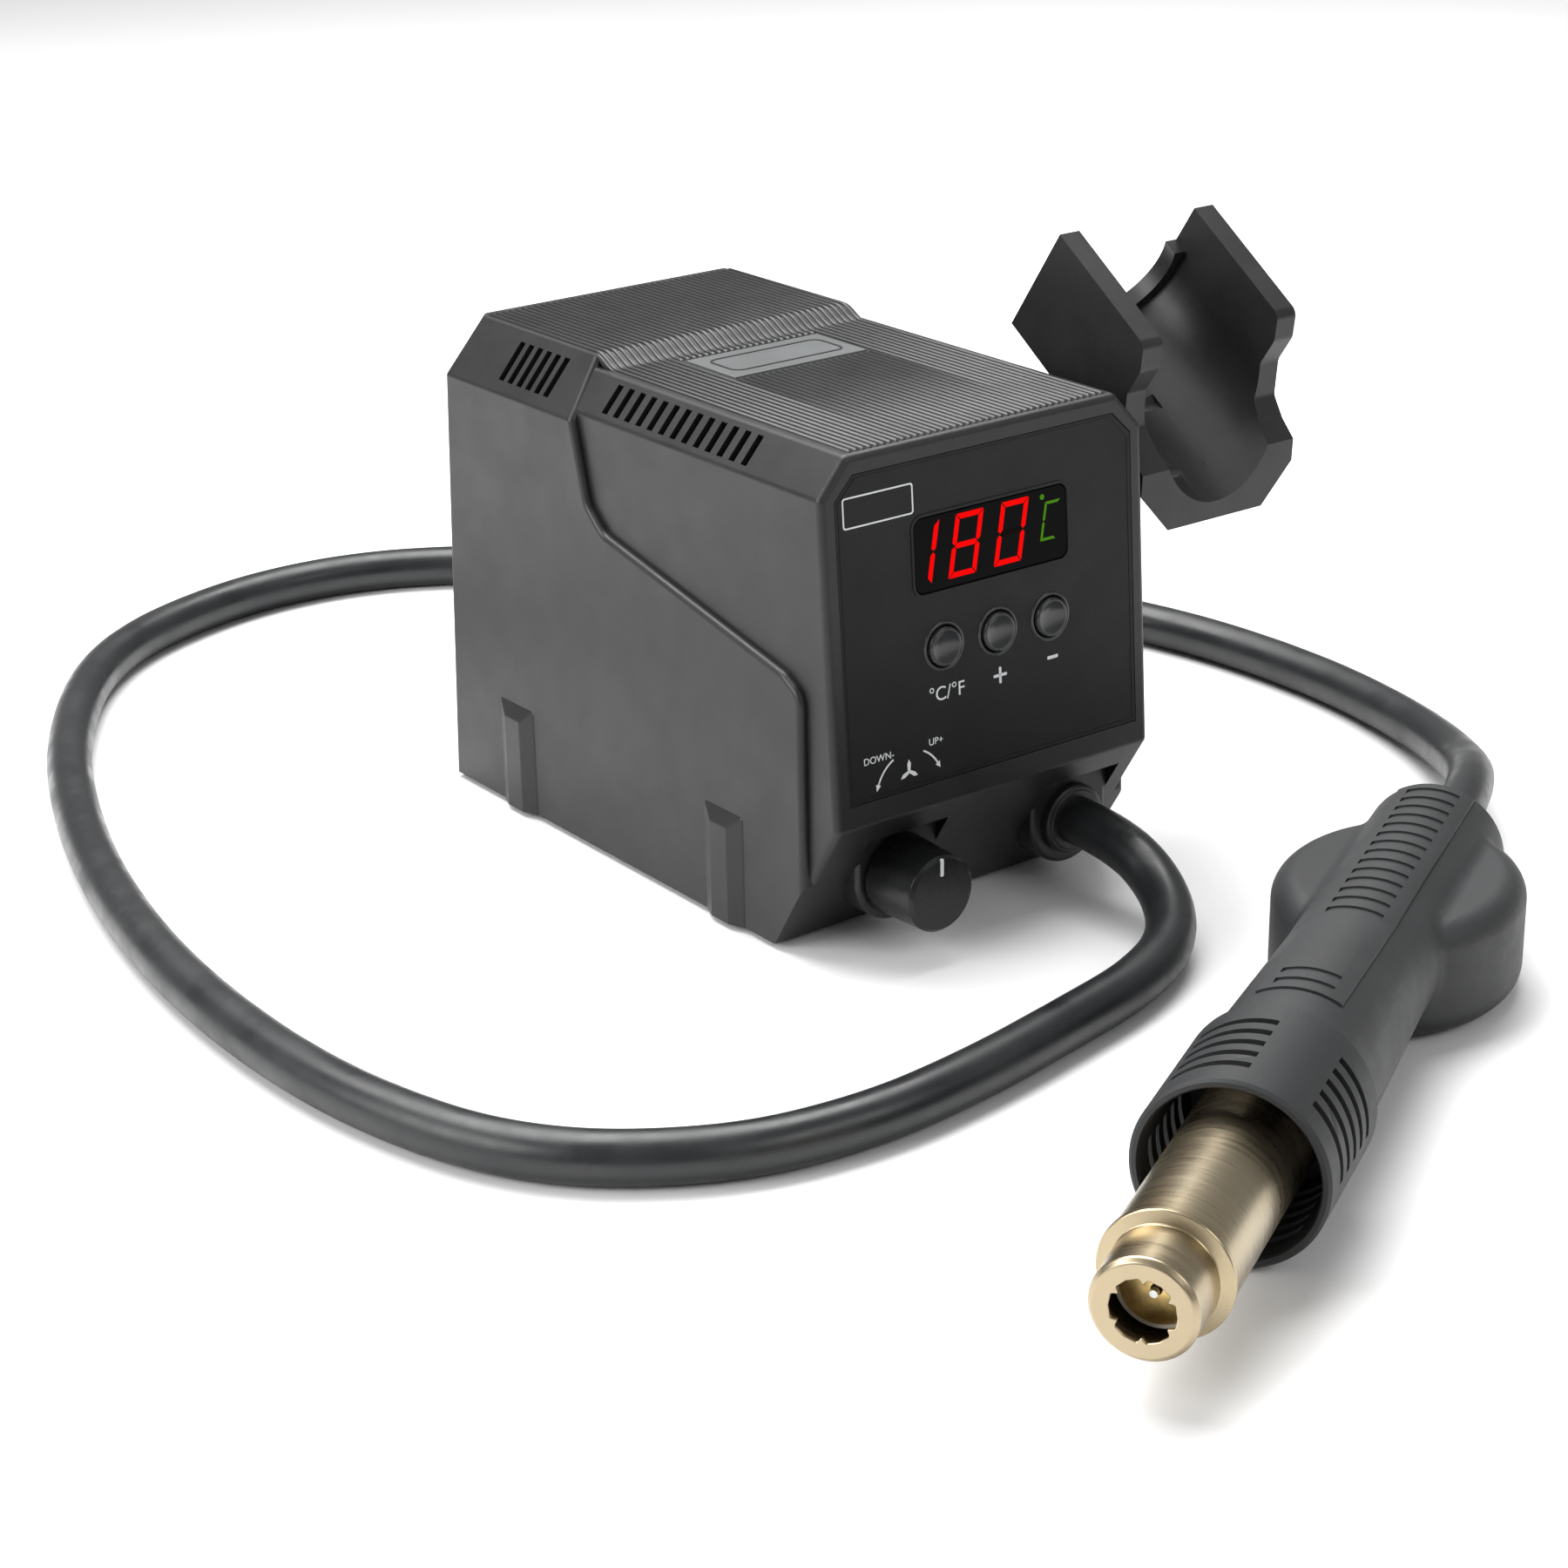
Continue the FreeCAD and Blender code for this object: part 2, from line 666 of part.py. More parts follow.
def make_cover():
    rear = shell_block("rear_form", "0", True)
    main = shell_block("main_form", "0", False)
    face_y = value("boss_y") + 0.01
    bosses = [
        soften(f"boss_soft_{i}", boss_form(f"boss_{i}", x, "boss_r", "boss_y", "under_depth", "boss_top"),
               "rib_round", lambda edge: edge.BoundBox.YMax < face_y)
        for i, x in enumerate(("knob_x", "gland_x"))]
    ribs = [
        side_rib(f"side_rib_{tag}{end}", y, sign)
        for tag, sign in (("left", -1), ("right", 1))
        for end, y in (("front", "side_rib_front_y"), ("rear", "side_rib_rear_y"))]
    outer = join("cover_outer", main, rear, *ribs, *bosses)
    pockets = [
        boss_form(f"boss_pocket_{i}", x, "boss_r", "0 - 4", "boss_y", "boss_top")
        for i, x in enumerate(("knob_x", "gland_x"))]
    hollow_back = [
        boss_form(f"boss_hollow_{i}", x, "boss_r - wall", "boss_y + wall", "under_depth + 8",
                  "boss_top - wall")
        for i, x in enumerate(("knob_x", "gland_x"))]
    cups = [
        boss_form(f"boss_cup_{i}", x, "boss_r + wall", "0 - 4", "boss_y + wall", "boss_top + wall")
        for i, x in enumerate(("knob_x", "gland_x"))]
    hollow = join("cover_hollow", shell_block("main_hollow", "wall", False),
                  shell_block("rear_hollow", "wall", True))
    skin = cut("cover_skin", cut("cover_open", outer, *pockets),
               cut("cover_hollow_less", hollow, *cups), *hollow_back)
    posts, webs, post_holes = [], [], []
    for i, (x, y) in enumerate(corners("post_x", "post_front_y", "post_rear_y")):
        tall = f"post_top - {PLATE_TOP}"
        web_x = "post_x" if x.startswith("1") else "wall / 2 - base_width / 2 - proud"
        posts.append(rod(f"cover_post_{i}", "post_r", tall, (x, y, PLATE_TOP)))
        webs.append(box(f"cover_web_{i}", ("base_width / 2 + proud - post_x - wall / 2", "wall", tall),
                        (web_x, f"{y} - wall / 2", PLATE_TOP)))
        post_holes.append(rod(f"post_hole_{i}", "screw_r", "14", (x, y, PLATE_TOP)))
    cradle_bosses = [
        rod(f"cradle_boss_{i}", "post_r", "7 + wall / 2", (f"base_width / 2 - 7 - wall / 2", y, z), "x")
        for i, (y, z) in enumerate(CRADLE_HOLES)]
    board_posts = group("board_posts", [
        rod(f"board_post_{i}", "post_r - 1", f"0 - wall / 2 - {BOARD_FRONT}",
            (x, v, BOARD_FRONT)) for i, (x, v) in enumerate(BOARD_CORNERS)], FRONT_IN_BASE)
    solid = join("cover_solid", skin, *posts, *webs, *cradle_bosses, board_posts)
    front_tools = group("front_tools", [
        panel_form("panel_recess", PANEL_BACK, "wall", "0"),
        box("window_opening", ("window_w + 2 * fit", "window_h + 2 * fit", "wall * 4"),
            ("window_x - window_w / 2 - fit", "window_v - window_h / 2 - fit", "0 - wall * 2")),
        *[rod(f"board_post_hole_{i}", "screw_r - 0.4", "6", (x, v, BOARD_FRONT))
          for i, (x, v) in enumerate(BOARD_CORNERS)],
        *[rod(f"button_opening_{i}", "button_r + button_fit", "wall * 4",
              (f"button_x + {i} * button_pitch", "button_v", "0 - wall * 2")) for i in (-1, 0, 1)],
    ], FRONT_IN_BASE)
    back_tools = group("back_tools", [
        box("inlet_opening", ("inlet_w + 2 * fit", "inlet_h + 2 * fit", "wall * 6"),
            ("inlet_x - inlet_w / 2 - fit", "inlet_v - inlet_h / 2 - fit", "0 - wall * 3")),
        box("switch_opening", ("switch_w + 2 * fit", "switch_h + 2 * fit", "wall * 6"),
            ("switch_x - switch_w / 2 - fit", "inlet_v - switch_h / 2 - fit", "0 - wall * 3")),
        *[rod(f"inlet_hole_{i}", "screw_r + screw_fit", "wall * 6",
              (f"inlet_x + {i} * inlet_screws / 2", "inlet_v", "0 - wall * 3")) for i in (-1, 1)],
        *[box(f"back_vent_{i}", ("40", "vent_w", "wall * 6"),
              ("0 - 20", f"70 + {i} * vent_pitch", "0 - wall * 3")) for i in range(7)],
    ], BACK_IN_BASE)
    holes = [
        rod("pot_hole", "bush_r + fit", "wall * 4", ("knob_x", "boss_y - wall", "boss_z"), "y"),
        rod("gland_hole", "gland_hole_r + fit", "wall * 4", ("gland_x", "boss_y - wall", "boss_z"), "y"),
        *post_holes,
        *[rod(f"cradle_hole_{i}", "cradle_screw_r", "12", ("base_width / 2 - 9", y, z), "x")
          for i, (y, z) in enumerate(CRADLE_HOLES)]]
    vents = []
    for side_name, sign in (("left", -1), ("right", 1)):
        vents.append(vent_slots(
            f"front_vents_{side_name}", 13, "vent_front_y", "vent_pitch", "vent_len",
            "(base_width / 2)", "base_top", "shoulder_w", "shoulder_h", sign))
        vents.append(vent_slots(
            f"rear_vents_{side_name}", 6, "vent_rear_y", "rear_vent_pitch", "rear_vent_len",
            "(base_width / 2 + proud)", "rear_top", "rear_shoulder_w", "rear_shoulder_h", sign))
    badge_seat = box("badge_seat", ("badge_w", "badge_d", "4"),
                     ("0 - badge_w / 2", "badge_y - badge_d / 2", "base_top - badge_t"))
    return cut("cover", solid, front_tools, back_tools, badge_seat, *holes, *vents)


def panel_form(name, back, thickness, gap):
    """The front label plate: a rectangle with its two upper corners cut off."""
    half = f"(panel_w / 2 - {gap})"
    low, high = f"(panel_low + {gap})", f"(panel_high - {gap})"
    return prism(name, "xy", [
        (f"0 - {half}", low), (half, low), (half, f"{high} - panel_corner"),
        (f"{half} - panel_corner", high), (f"panel_corner - {half}", high),
        (f"0 - {half}", f"{high} - panel_corner")], thickness, start=back)


# the cradle's two screws: places in the base's frame from those in the cradle's own
CRADLE_SCREWS = (("14", "8"), ("36", "7"))


def cradle_to_base(u, v):
    tilt = "cradle_tilt"
    return (f"cradle_y + ({u}) * cos({tilt}) - ({v}) * sin({tilt})",
            f"cradle_z + ({u}) * sin({tilt}) + ({v}) * cos({tilt})")


CRADLE_HOLES = [cradle_to_base(u, v) for u, v in CRADLE_SCREWS]

node("base_cover", make_cover(), BASE)


# ---------------------------------------------------------------- front panel group
def make_front():
    plate = panel_form("panel_plate", PANEL_BACK, "panel_t", "0.1")
    window_cut = box("panel_window", ("window_w + 2 * fit", "window_h + 2 * fit", "wall * 2"),
                     ("window_x - window_w / 2 - fit", "window_v - window_h / 2 - fit", "0 - wall"))
    window_cut = soften("panel_window_soft", window_cut, "window_round", upright)
    buttons = [rod(f"panel_button_{i}", "button_r + button_fit", "wall * 2",
                   (f"button_x + {i} * button_pitch", "button_v", "0 - wall")) for i in (-1, 0, 1)]
    node("front_panel", cut("panel", plate, window_cut, *buttons), FRONT)

    pane = box("window_pane", ("window_w", "window_h", "wall"),
               ("window_x - window_w / 2", "window_v - window_h / 2", WALL_BACK))
    pane = soften("window_pane_soft", pane, "window_round", upright)
    flange = box("window_flange_plate",
                 ("window_w + 2 * window_flange", "window_h + 2 * window_flange", "window_flange_t"),
                 ("window_x - window_w / 2 - window_flange", "window_v - window_h / 2 - window_flange",
                  "0 - wall - window_flange_t"))
    node("display_window", join("window", pane, flange), FRONT)
    node("display_module", box(
        "display_block", ("display_w", "display_h", "display_t"),
        ("window_x - display_w / 2", "window_v - display_h / 2", BOARD_FRONT)), FRONT)

    board = box("control_board_plate", ("board_w", "board_high - board_low", "board_t"),
                ("0 - board_w / 2", "board_low", f"{BOARD_FRONT} - board_t"))
    board_holes = [rod(f"board_hole_{i}", "screw_r - 0.4 + screw_fit", "board_t * 3",
                       (x, v, f"{BOARD_FRONT} - 2 * board_t")) for i, (x, v) in enumerate(BOARD_CORNERS)]
    node("control_board", cut("control_board_drilled", board, *board_holes), FRONT)
    node("board_screws", group("board_screw_set", [
        join(f"board_screw_{i}",
             rod(f"board_screw_shank_{i}", "screw_r - 0.4", "5 + board_t", (x, v, f"{BOARD_FRONT} - board_t")),
             rod(f"board_screw_head_{i}", "2.2", "1.4", (x, v, f"{BOARD_FRONT} - board_t - 1.4")))
        for i, (x, v) in enumerate(BOARD_CORNERS)]), FRONT)
    press = f"({WALL_BACK} - button_fit - button_flange_t)"
    tacts = [box(f"tact_{i}", ("tact_size", "tact_size", f"{press} - 1.5 - button_travel - {BOARD_FRONT}"),
                 (f"button_x + {i} * button_pitch - tact_size / 2", "button_v - tact_size / 2",
                  BOARD_FRONT)) for i in (-1, 0, 1)]
    node("tact_switches", group("tacts", tacts), FRONT)
    for i, label in ((-1, "button_unit"), (0, "button_plus"), (1, "button_minus")):
        body = lathe(label + "_cap", [
            ("0", f"{press} - 1.5"), ("1.6", f"{press} - 1.5"), ("1.6", press),
            ("button_flange_r", press), ("button_flange_r", f"{press} + button_flange_t"),
            ("button_r", f"{press} + button_flange_t"), ("button_r", "button_out - 0.4"),
            ("button_r - 0.4", "button_out"), ("button_r - 1.1", "button_out"),
            ("button_r - 1.6", "button_out - 0.5"), ("0", "button_out - 0.7")])
        body.Placement = Placement(
            Vector(value(f"button_x + {i} * button_pitch"), value("button_v"), 0), Rotation())
        node(label, body, FRONT)


def upright(edge):
    """Edges that run along Z."""
    return edge.BoundBox.ZLength > 0.9 * edge.Length


make_front()


# ---------------------------------------------------------------- knob and hose gland
def make_lower_front():
    axis = Placement(Vector(value("knob_x"), 0, value("boss_z")), ALONG["-y"])
    front = "(0 - knob_front)"
    back = f"(0 - {KNOB_BACK})"
    knob = lathe("knob_body", [
        ("0", f"{back} + knob_recess"), ("knob_skirt_r - knob_wall", f"{back} + knob_recess"),
        ("knob_skirt_r - knob_wall", back), ("knob_skirt_r", back),
        ("knob_r", f"{front} - 0.8"), ("knob_r - 0.8", front), ("0", front)])
    bore(knob, "knob_bore", [
        ("0", f"{back} + knob_recess - 1"), ("shaft_r", f"{back} + knob_recess - 1"),
        ("shaft_r", "0 - shaft_front"), ("0", "0 - shaft_front")])
    line = body_sketch(knob, "xy", "knob_line", [
        ("0 - 0.7", "knob_r - 5.5"), ("0.7", "knob_r - 5.5"), ("0.7", "knob_r + 1"),
        ("0 - 0.7", "knob_r + 1")], lift=f"{front} - 0.5")
    groove = pad(knob, "knob_line_cut", line, "2", "PartDesign::Pocket")
    groove.Reversed = True
    knob.Placement = axis
    node("airflow_knob", knob, BASE)

    shaft = lathe("shaft_body", [
        ("0", "0 - boss_y - wall - 5"), ("shaft_neck_r", "0 - boss_y - wall - 5"),
        ("shaft_neck_r", "0 - boss_y + bush_len - wall + 0.5"),
        ("shaft_r", "0 - boss_y + bush_len - wall + 0.5"), ("shaft_r", "0 - shaft_front"),
        ("0", "0 - shaft_front")])
    shaft.Placement = axis
    node("pot_shaft", shaft, BASE)

    pot = lathe("pot_can", [
        ("shaft_neck_r + shaft_fit", "bush_len - wall - boss_y"), ("bush_r", "bush_len - wall - boss_y"),
        ("bush_r", "0 - boss_y - wall"), ("pot_r", "0 - boss_y - wall"),
        ("pot_r", "0 - boss_y - wall - pot_t"), ("0", "0 - boss_y - wall - pot_t"),
        ("0", "0 - boss_y - wall - 5.5"),
        ("shaft_neck_r + shaft_fit", "0 - boss_y - wall - 5.5")])
    pot.Placement = axis
    node("airflow_pot", pot, BASE)

    nut = new_body("nut_body")
    flats = body_sketch(nut, "xy", "nut_flats", [
        (f"nut_af / 2 / cos(30) * cos({60 * i})", f"nut_af / 2 / cos(30) * sin({60 * i})")
        for i in range(6)], lift="0 - boss_y")
    draw_circle(flats, "bush_r")
    nut.Tip = pad(nut, "nut_pad", flats, "nut_t")
    nut.Placement = axis
    node("pot_nut", nut, BASE)

    gland_axis = Placement(Vector(value("gland_x"), 0, value("boss_z")), ALONG["-y"])
    face = "(0 - boss_y)"
    gland = lathe("gland_body", [
        ("hose_r - 1.5", f"{face} - wall - 9"), ("gland_hole_r", f"{face} - wall - 9"),
        ("gland_hole_r", face), ("gland_flange_r", face),
        ("gland_flange_r", f"{face} + gland_flange_t - 0.6"),
        ("gland_flange_r - 0.6", f"{face} + gland_flange_t"),
        ("gland_sleeve_r", f"{face} + gland_flange_t"), ("gland_sleeve_r", "0 - gland_front"),
        ("hose_r - 1.5", "0 - gland_front")])
    gland.Placement = gland_axis
    node("hose_gland", gland, BASE)
    lock = lathe("gland_lock", [
        ("gland_hole_r", f"{face} - wall"), ("gland_hole_r", f"{face} - wall - gland_nut_t"),
        ("gland_nut_r - 1", f"{face} - wall - gland_nut_t"), ("gland_nut_r - 1", f"{face} - wall")])
    lock.Placement = gland_axis
    node("gland_nut", lock, BASE)


make_lower_front()


# ---------------------------------------------------------------- chassis and electronics
def make_chassis():
    inner = "(base_width / 2 - wall - fit)"
    plate = box("plate_blank", (f"2 * {inner}", "base_depth - wall - under_depth - wall * 2", "plate_t"),
                (f"0 - {inner}", "under_depth + wall * 1.6", PLATE_Z))
    posts = corners("post_x", "post_front_y", "post_rear_y")
    feet = corners("foot_x", "foot_front_y", "foot_rear_y")
    holes = [rod(f"plate_hole_{i}", "screw_r + screw_fit", "plate_t * 3", (x, y, "foot_h - plate_t"))
             for i, (x, y) in enumerate(posts)]
    slots = [box(f"plate_slot_{i}", ("40", "vent_w", "plate_t * 3"),
                 ("0 - 20", f"60 + {i} * 6", "foot_h - plate_t")) for i in range(6)]
    node("chassis_plate", cut("plate", plate, *holes, *slots), BASE)
    node("chassis_screws", group("plate_screws", [
        join(f"plate_screw_{i}",
             rod(f"plate_screw_shank_{i}", "screw_r", "10 + plate_t", (x, y, "foot_h")),
             rod(f"plate_screw_head_{i}", "2.7", "1.2", (x, y, "foot_h - 1.2")))
        for i, (x, y) in enumerate(posts)]), BASE)
    node("rubber_feet", group("feet", [
        cut(f"foot_{i}", cone(f"foot_form_{i}", "foot_r - 0.6", "foot_r", "foot_h", (x, y, "0")),
            rod(f"foot_relief_{i}", "3.2", "foot_h", (f"({x}) * post_x / foot_x", py, "0")))
        for i, ((x, y), (px, py)) in enumerate(zip(feet, posts))]), BASE)

    stack = [
        box("core_stack", ("core_w", "core_d", "core_h"), ("0 - core_w / 2", "core_y - core_d / 2", PLATE_TOP)),
        box("core_window", ("coil_w", "core_d * 2", "coil_h"),
            ("0 - coil_w / 2", "core_y - core_d", f"{PLATE_TOP} + (core_h - coil_h) / 2"))]
    limb = box("core_limb", ("coil_w / 2", "core_d", "coil_h"),
               ("0 - coil_w / 4", "core_y - core_d / 2", f"{PLATE_TOP} + (core_h - coil_h) / 2"))
    node("transformer_core", join("core", cut("core_frame", *stack), limb), BASE)
    coil = box("coil_block", ("coil_w", "coil_d", "coil_h"),
               ("0 - coil_w / 2", "core_y - coil_d / 2", f"{PLATE_TOP} + (core_h - coil_h) / 2"))
    limb_gap = box("coil_hole", ("coil_w / 2", "coil_d * 2", "coil_h * 2"),
                   ("0 - coil_w / 4", "core_y - coil_d", "0"))
    inside = overlap("coil_bore", limb_gap, box(
        "coil_core", ("coil_w / 2", "core_d", "coil_h"),
        ("0 - coil_w / 4", "core_y - core_d / 2", f"{PLATE_TOP} + (core_h - coil_h) / 2")))
    node("transformer_coil", cut("coil", coil, inside), BASE)

    board_corners = [
        (f"{sx} * (power_board_w / 2 - 5)", f"power_board_y + {y}")
        for sx in (-1, 1) for y in ("5", "power_board_d - 5")]
    board = box("power_blank", ("power_board_w", "power_board_d", "board_t"),
                ("0 - power_board_w / 2", "power_board_y", f"{PLATE_TOP} + standoff_h"))
    node("power_board", board, BASE)
    node("board_standoffs", group("standoffs", [
        rod(f"standoff_{i}", "standoff_r", "standoff_h", (x, y, PLATE_TOP))
        for i, (x, y) in enumerate(board_corners)]), BASE)
    sink = [box("sink_back", ("sink_w", "3", "sink_h"), ("0 - 30", "power_board_y + 8", BOARD_TOP))]
    sink += [box(f"sink_fin_{i}", ("sink_fin", "12", "sink_h"),
                 (f"0 - 30 + {i} * (sink_w - sink_fin) / 5", "power_board_y + 8", BOARD_TOP))
             for i in range(6)]
    node("triac_heatsink", join("sink", *sink), BASE)
    node("capacitors", group("caps", [
        rod(f"capacitor_{i}", "cap_r", "cap_h", (f"14 + {i} * 12", "power_board_y + 40", BOARD_TOP))
        for i in range(2)]), BASE)


make_chassis()


# ---------------------------------------------------------------- back: inlet and switch
def centred(name, width, height, depth, x, v, start):
    return box(name, (width, height, depth), (f"{x} - ({width}) / 2", f"{v} - ({height}) / 2", start))


def make_back():
    block = join(
        "inlet_block",
        centred("inlet_body", "inlet_w", "inlet_h", "inlet_deep", "inlet_x", "inlet_v", "0 - inlet_deep"),
        centred("inlet_flange", "inlet_flange_w", "inlet_flange_h", "inlet_flange_t",
                "inlet_x", "inlet_v", "0"))
    socket = centred("inlet_socket", "socket_w", "socket_h", "socket_deep + 1",
                     "inlet_x", "inlet_v", "inlet_flange_t - socket_deep")
    ears = [rod(f"inlet_ear_{i}", "screw_r + screw_fit", "inlet_flange_t * 3",
                (f"inlet_x + {i} * inlet_screws / 2", "inlet_v", "0 - inlet_flange_t"))
            for i in (-1, 1)]
    node("mains_inlet", cut("inlet", block, socket, *ears), BACK)
    pins = [box(f"inlet_pin_{i}", ("2", "4", "13"),
                (f"inlet_x + {i} * 7 - 1", f"inlet_v - 2 + {lift}", "inlet_flange_t - socket_deep"))
            for i, lift in ((-1, "0 - 2"), (0, "2"), (1, "0 - 2"))]
    node("inlet_pins", group("pins", pins), BACK)
    node("inlet_screws", group("inlet_screw_pair", [
        join(f"inlet_screw_{i}",
             rod(f"inlet_screw_shank_{i}", "screw_r", "6 + inlet_flange_t",
                 (f"inlet_x + {i} * inlet_screws / 2", "inlet_v", "0 - 6")),
             cone(f"inlet_screw_head_{i}", "2.8", "2", "1.3",
                  (f"inlet_x + {i} * inlet_screws / 2", "inlet_v", "inlet_flange_t")))
        for i in (-1, 1)]), BACK)

    frame = join(
        "switch_frame_block",
        centred("switch_body", "switch_w", "switch_h", "switch_deep", "switch_x", "inlet_v",
                "0 - switch_deep"),
        centred("switch_bezel", "switch_w + 3", "switch_h + 3", "1.4", "switch_x", "inlet_v", "0"))
    hollow = centred("switch_hollow", "switch_w - 2 * switch_wall", "switch_h - 2 * switch_wall",
                     "12", "switch_x", "inlet_v", "0 - 8")
    pivot_holes = rod("switch_pivot_hole", "0.8", "switch_w + 2",
                      ("switch_x - switch_w / 2 - 1", "inlet_v", "0 - 3"), "x")
    node("switch_frame", cut("switch", frame, hollow, pivot_holes), BACK)
    half_w = "(switch_w / 2 - switch_wall - rocker_fit)"
    half_h = "(switch_h / 2 - switch_wall - rocker_fit - 0.5)"
    # level, the rocker is a shallow V; it is kept turned to its on side
    wedge = prism("rocker_wedge", "yz", [
        (f"0 - {half_h}", "4.2"), ("0", "2.2"), (half_h, "4.2"), (f"{half_h} - 0.6", "0 - 0.6"),
        ("2.2", "0 - 3"), ("0 - 2.2", "0 - 3"), (f"0.6 - {half_h}", "0 - 0.6")],
        f"2 * {half_w}", both=True)
    pin = rod("rocker_pin", "0.75", "switch_w - 0.4", ("0.2 - switch_w / 2", "0", "0"), "x")
    rocker = join("rocker", wedge, pin)
    rocker.Placement = Placement(
        Vector(value("switch_x"), value("inlet_v"), -3), Rotation(AXES["x"], value("rocker_angle")))
    node("power_rocker", group("rocker_piece", [rocker]), BACK)


make_back()


# ---------------------------------------------------------------- cradle and badge
def make_cradle():
    half = "(cradle_w / 2)"
    side = prism("cradle_side", "yz", [
        ("0", "0"), ("cradle_len", "0"), ("cradle_len", "cradle_h"), ("28.4", "cradle_h"),
        ("25.2", "34.7"), ("25.2", "26.5"), ("20.5", "18"), ("14.6", "15.3"), ("8.6", "14")],
        "cradle_w", both=True)

    def front_bends(edge):
        """The bends of the walls' front edge, and their upper corners."""
        middle = edge.CenterOfMass
        upper = middle.z > value("cradle_h - 8") and middle.y < 30
        bend = 14.5 < middle.z < 30 and middle.y < 26
        return edge.BoundBox.XLength > value("cradle_w") - 1 and (upper or bend)

    side = soften("cradle_side_soft", side, "3", front_bends)
    section = prism("cradle_section", "xz", [
        (f"cradle_chamfer_w - {half}", "0"), (f"{half} - cradle_chamfer_w", "0"),
        (half, "cradle_chamfer_h"), (half, "cradle_h"), (f"0 - {half}", "cradle_h"),
        (f"0 - {half}", "cradle_chamfer_h")], "cradle_len + 4", start="0 - 2")
    blank = overlap("cradle_blank", side, section)
    axis_v = "(trough_floor + trough_r)"
    trough = join(
        "trough",
        rod("trough_round", "trough_r", "cradle_len - lip_t + 10", ("0", "0 - 10", axis_v), "y"),
        box("trough_slot", ("2 * trough_r", "cradle_len - lip_t + 10", "cradle_h"),
            ("0 - trough_r", "0 - 10", axis_v)),
        rod("lip_round", "lip_r", "cradle_len + 20", ("0", "0 - 10", axis_v), "y"),
        box("lip_slot", ("2 * trough_r", "cradle_len + 20", "cradle_h"),
            ("0 - trough_r", "0 - 10", f"{axis_v} + 6")))
    pads = [rod(f"cradle_pad_{i}", "pad_r", "cradle_gap + 1", (f"0 - {half} - cradle_gap", u, v), "x")
            for i, (u, v) in enumerate(CRADLE_SCREWS)]
    holes = [rod(f"cradle_screw_hole_{i}", "cradle_screw_r + screw_fit", "cradle_w / 2",
                 (f"0 - {half} - cradle_gap - 1", u, v), "x")
             for i, (u, v) in enumerate(CRADLE_SCREWS)]
    sinks = [rod(f"cradle_screw_sink_{i}", "3.6", "cradle_w / 2", (f"4.5 - {half}", u, v), "x")
             for i, (u, v) in enumerate(CRADLE_SCREWS)]
    pocket = rod("magnet_pocket", "magnet_r + 0.05", "magnet_t + 1", ("0", "44", "0 - 1"))
    form = cut("cradle", join("cradle_form", blank, *pads), trough, *holes, *sinks, pocket)
    node("cradle", form, CRADLE)
    node("cradle_screws", group("cradle_screw_pair", [
        join(f"cradle_screw_{i}",
             rod(f"cradle_shank_{i}", "cradle_screw_r", "cradle_screw_len + 1",
                 (f"5.5 - {half} - 1 - cradle_screw_len", u, v), "x"),
             rod(f"cradle_head_{i}", "3.2", "1.8", (f"4.5 - {half}", u, v), "x"))
        for i, (u, v) in enumerate(CRADLE_SCREWS)]), CRADLE)
    node("holder_magnet", rod("magnet_disc", "magnet_r", "magnet_t", ("0", "44", "0")), CRADLE)


make_cradle()
node("top_badge", box("badge_plate", ("badge_w - 0.2", "badge_d - 0.2", "badge_t + 0.4"),
                      ("0.1 - badge_w / 2", "badge_y - badge_d / 2 + 0.1", "base_top - badge_t")), BASE)


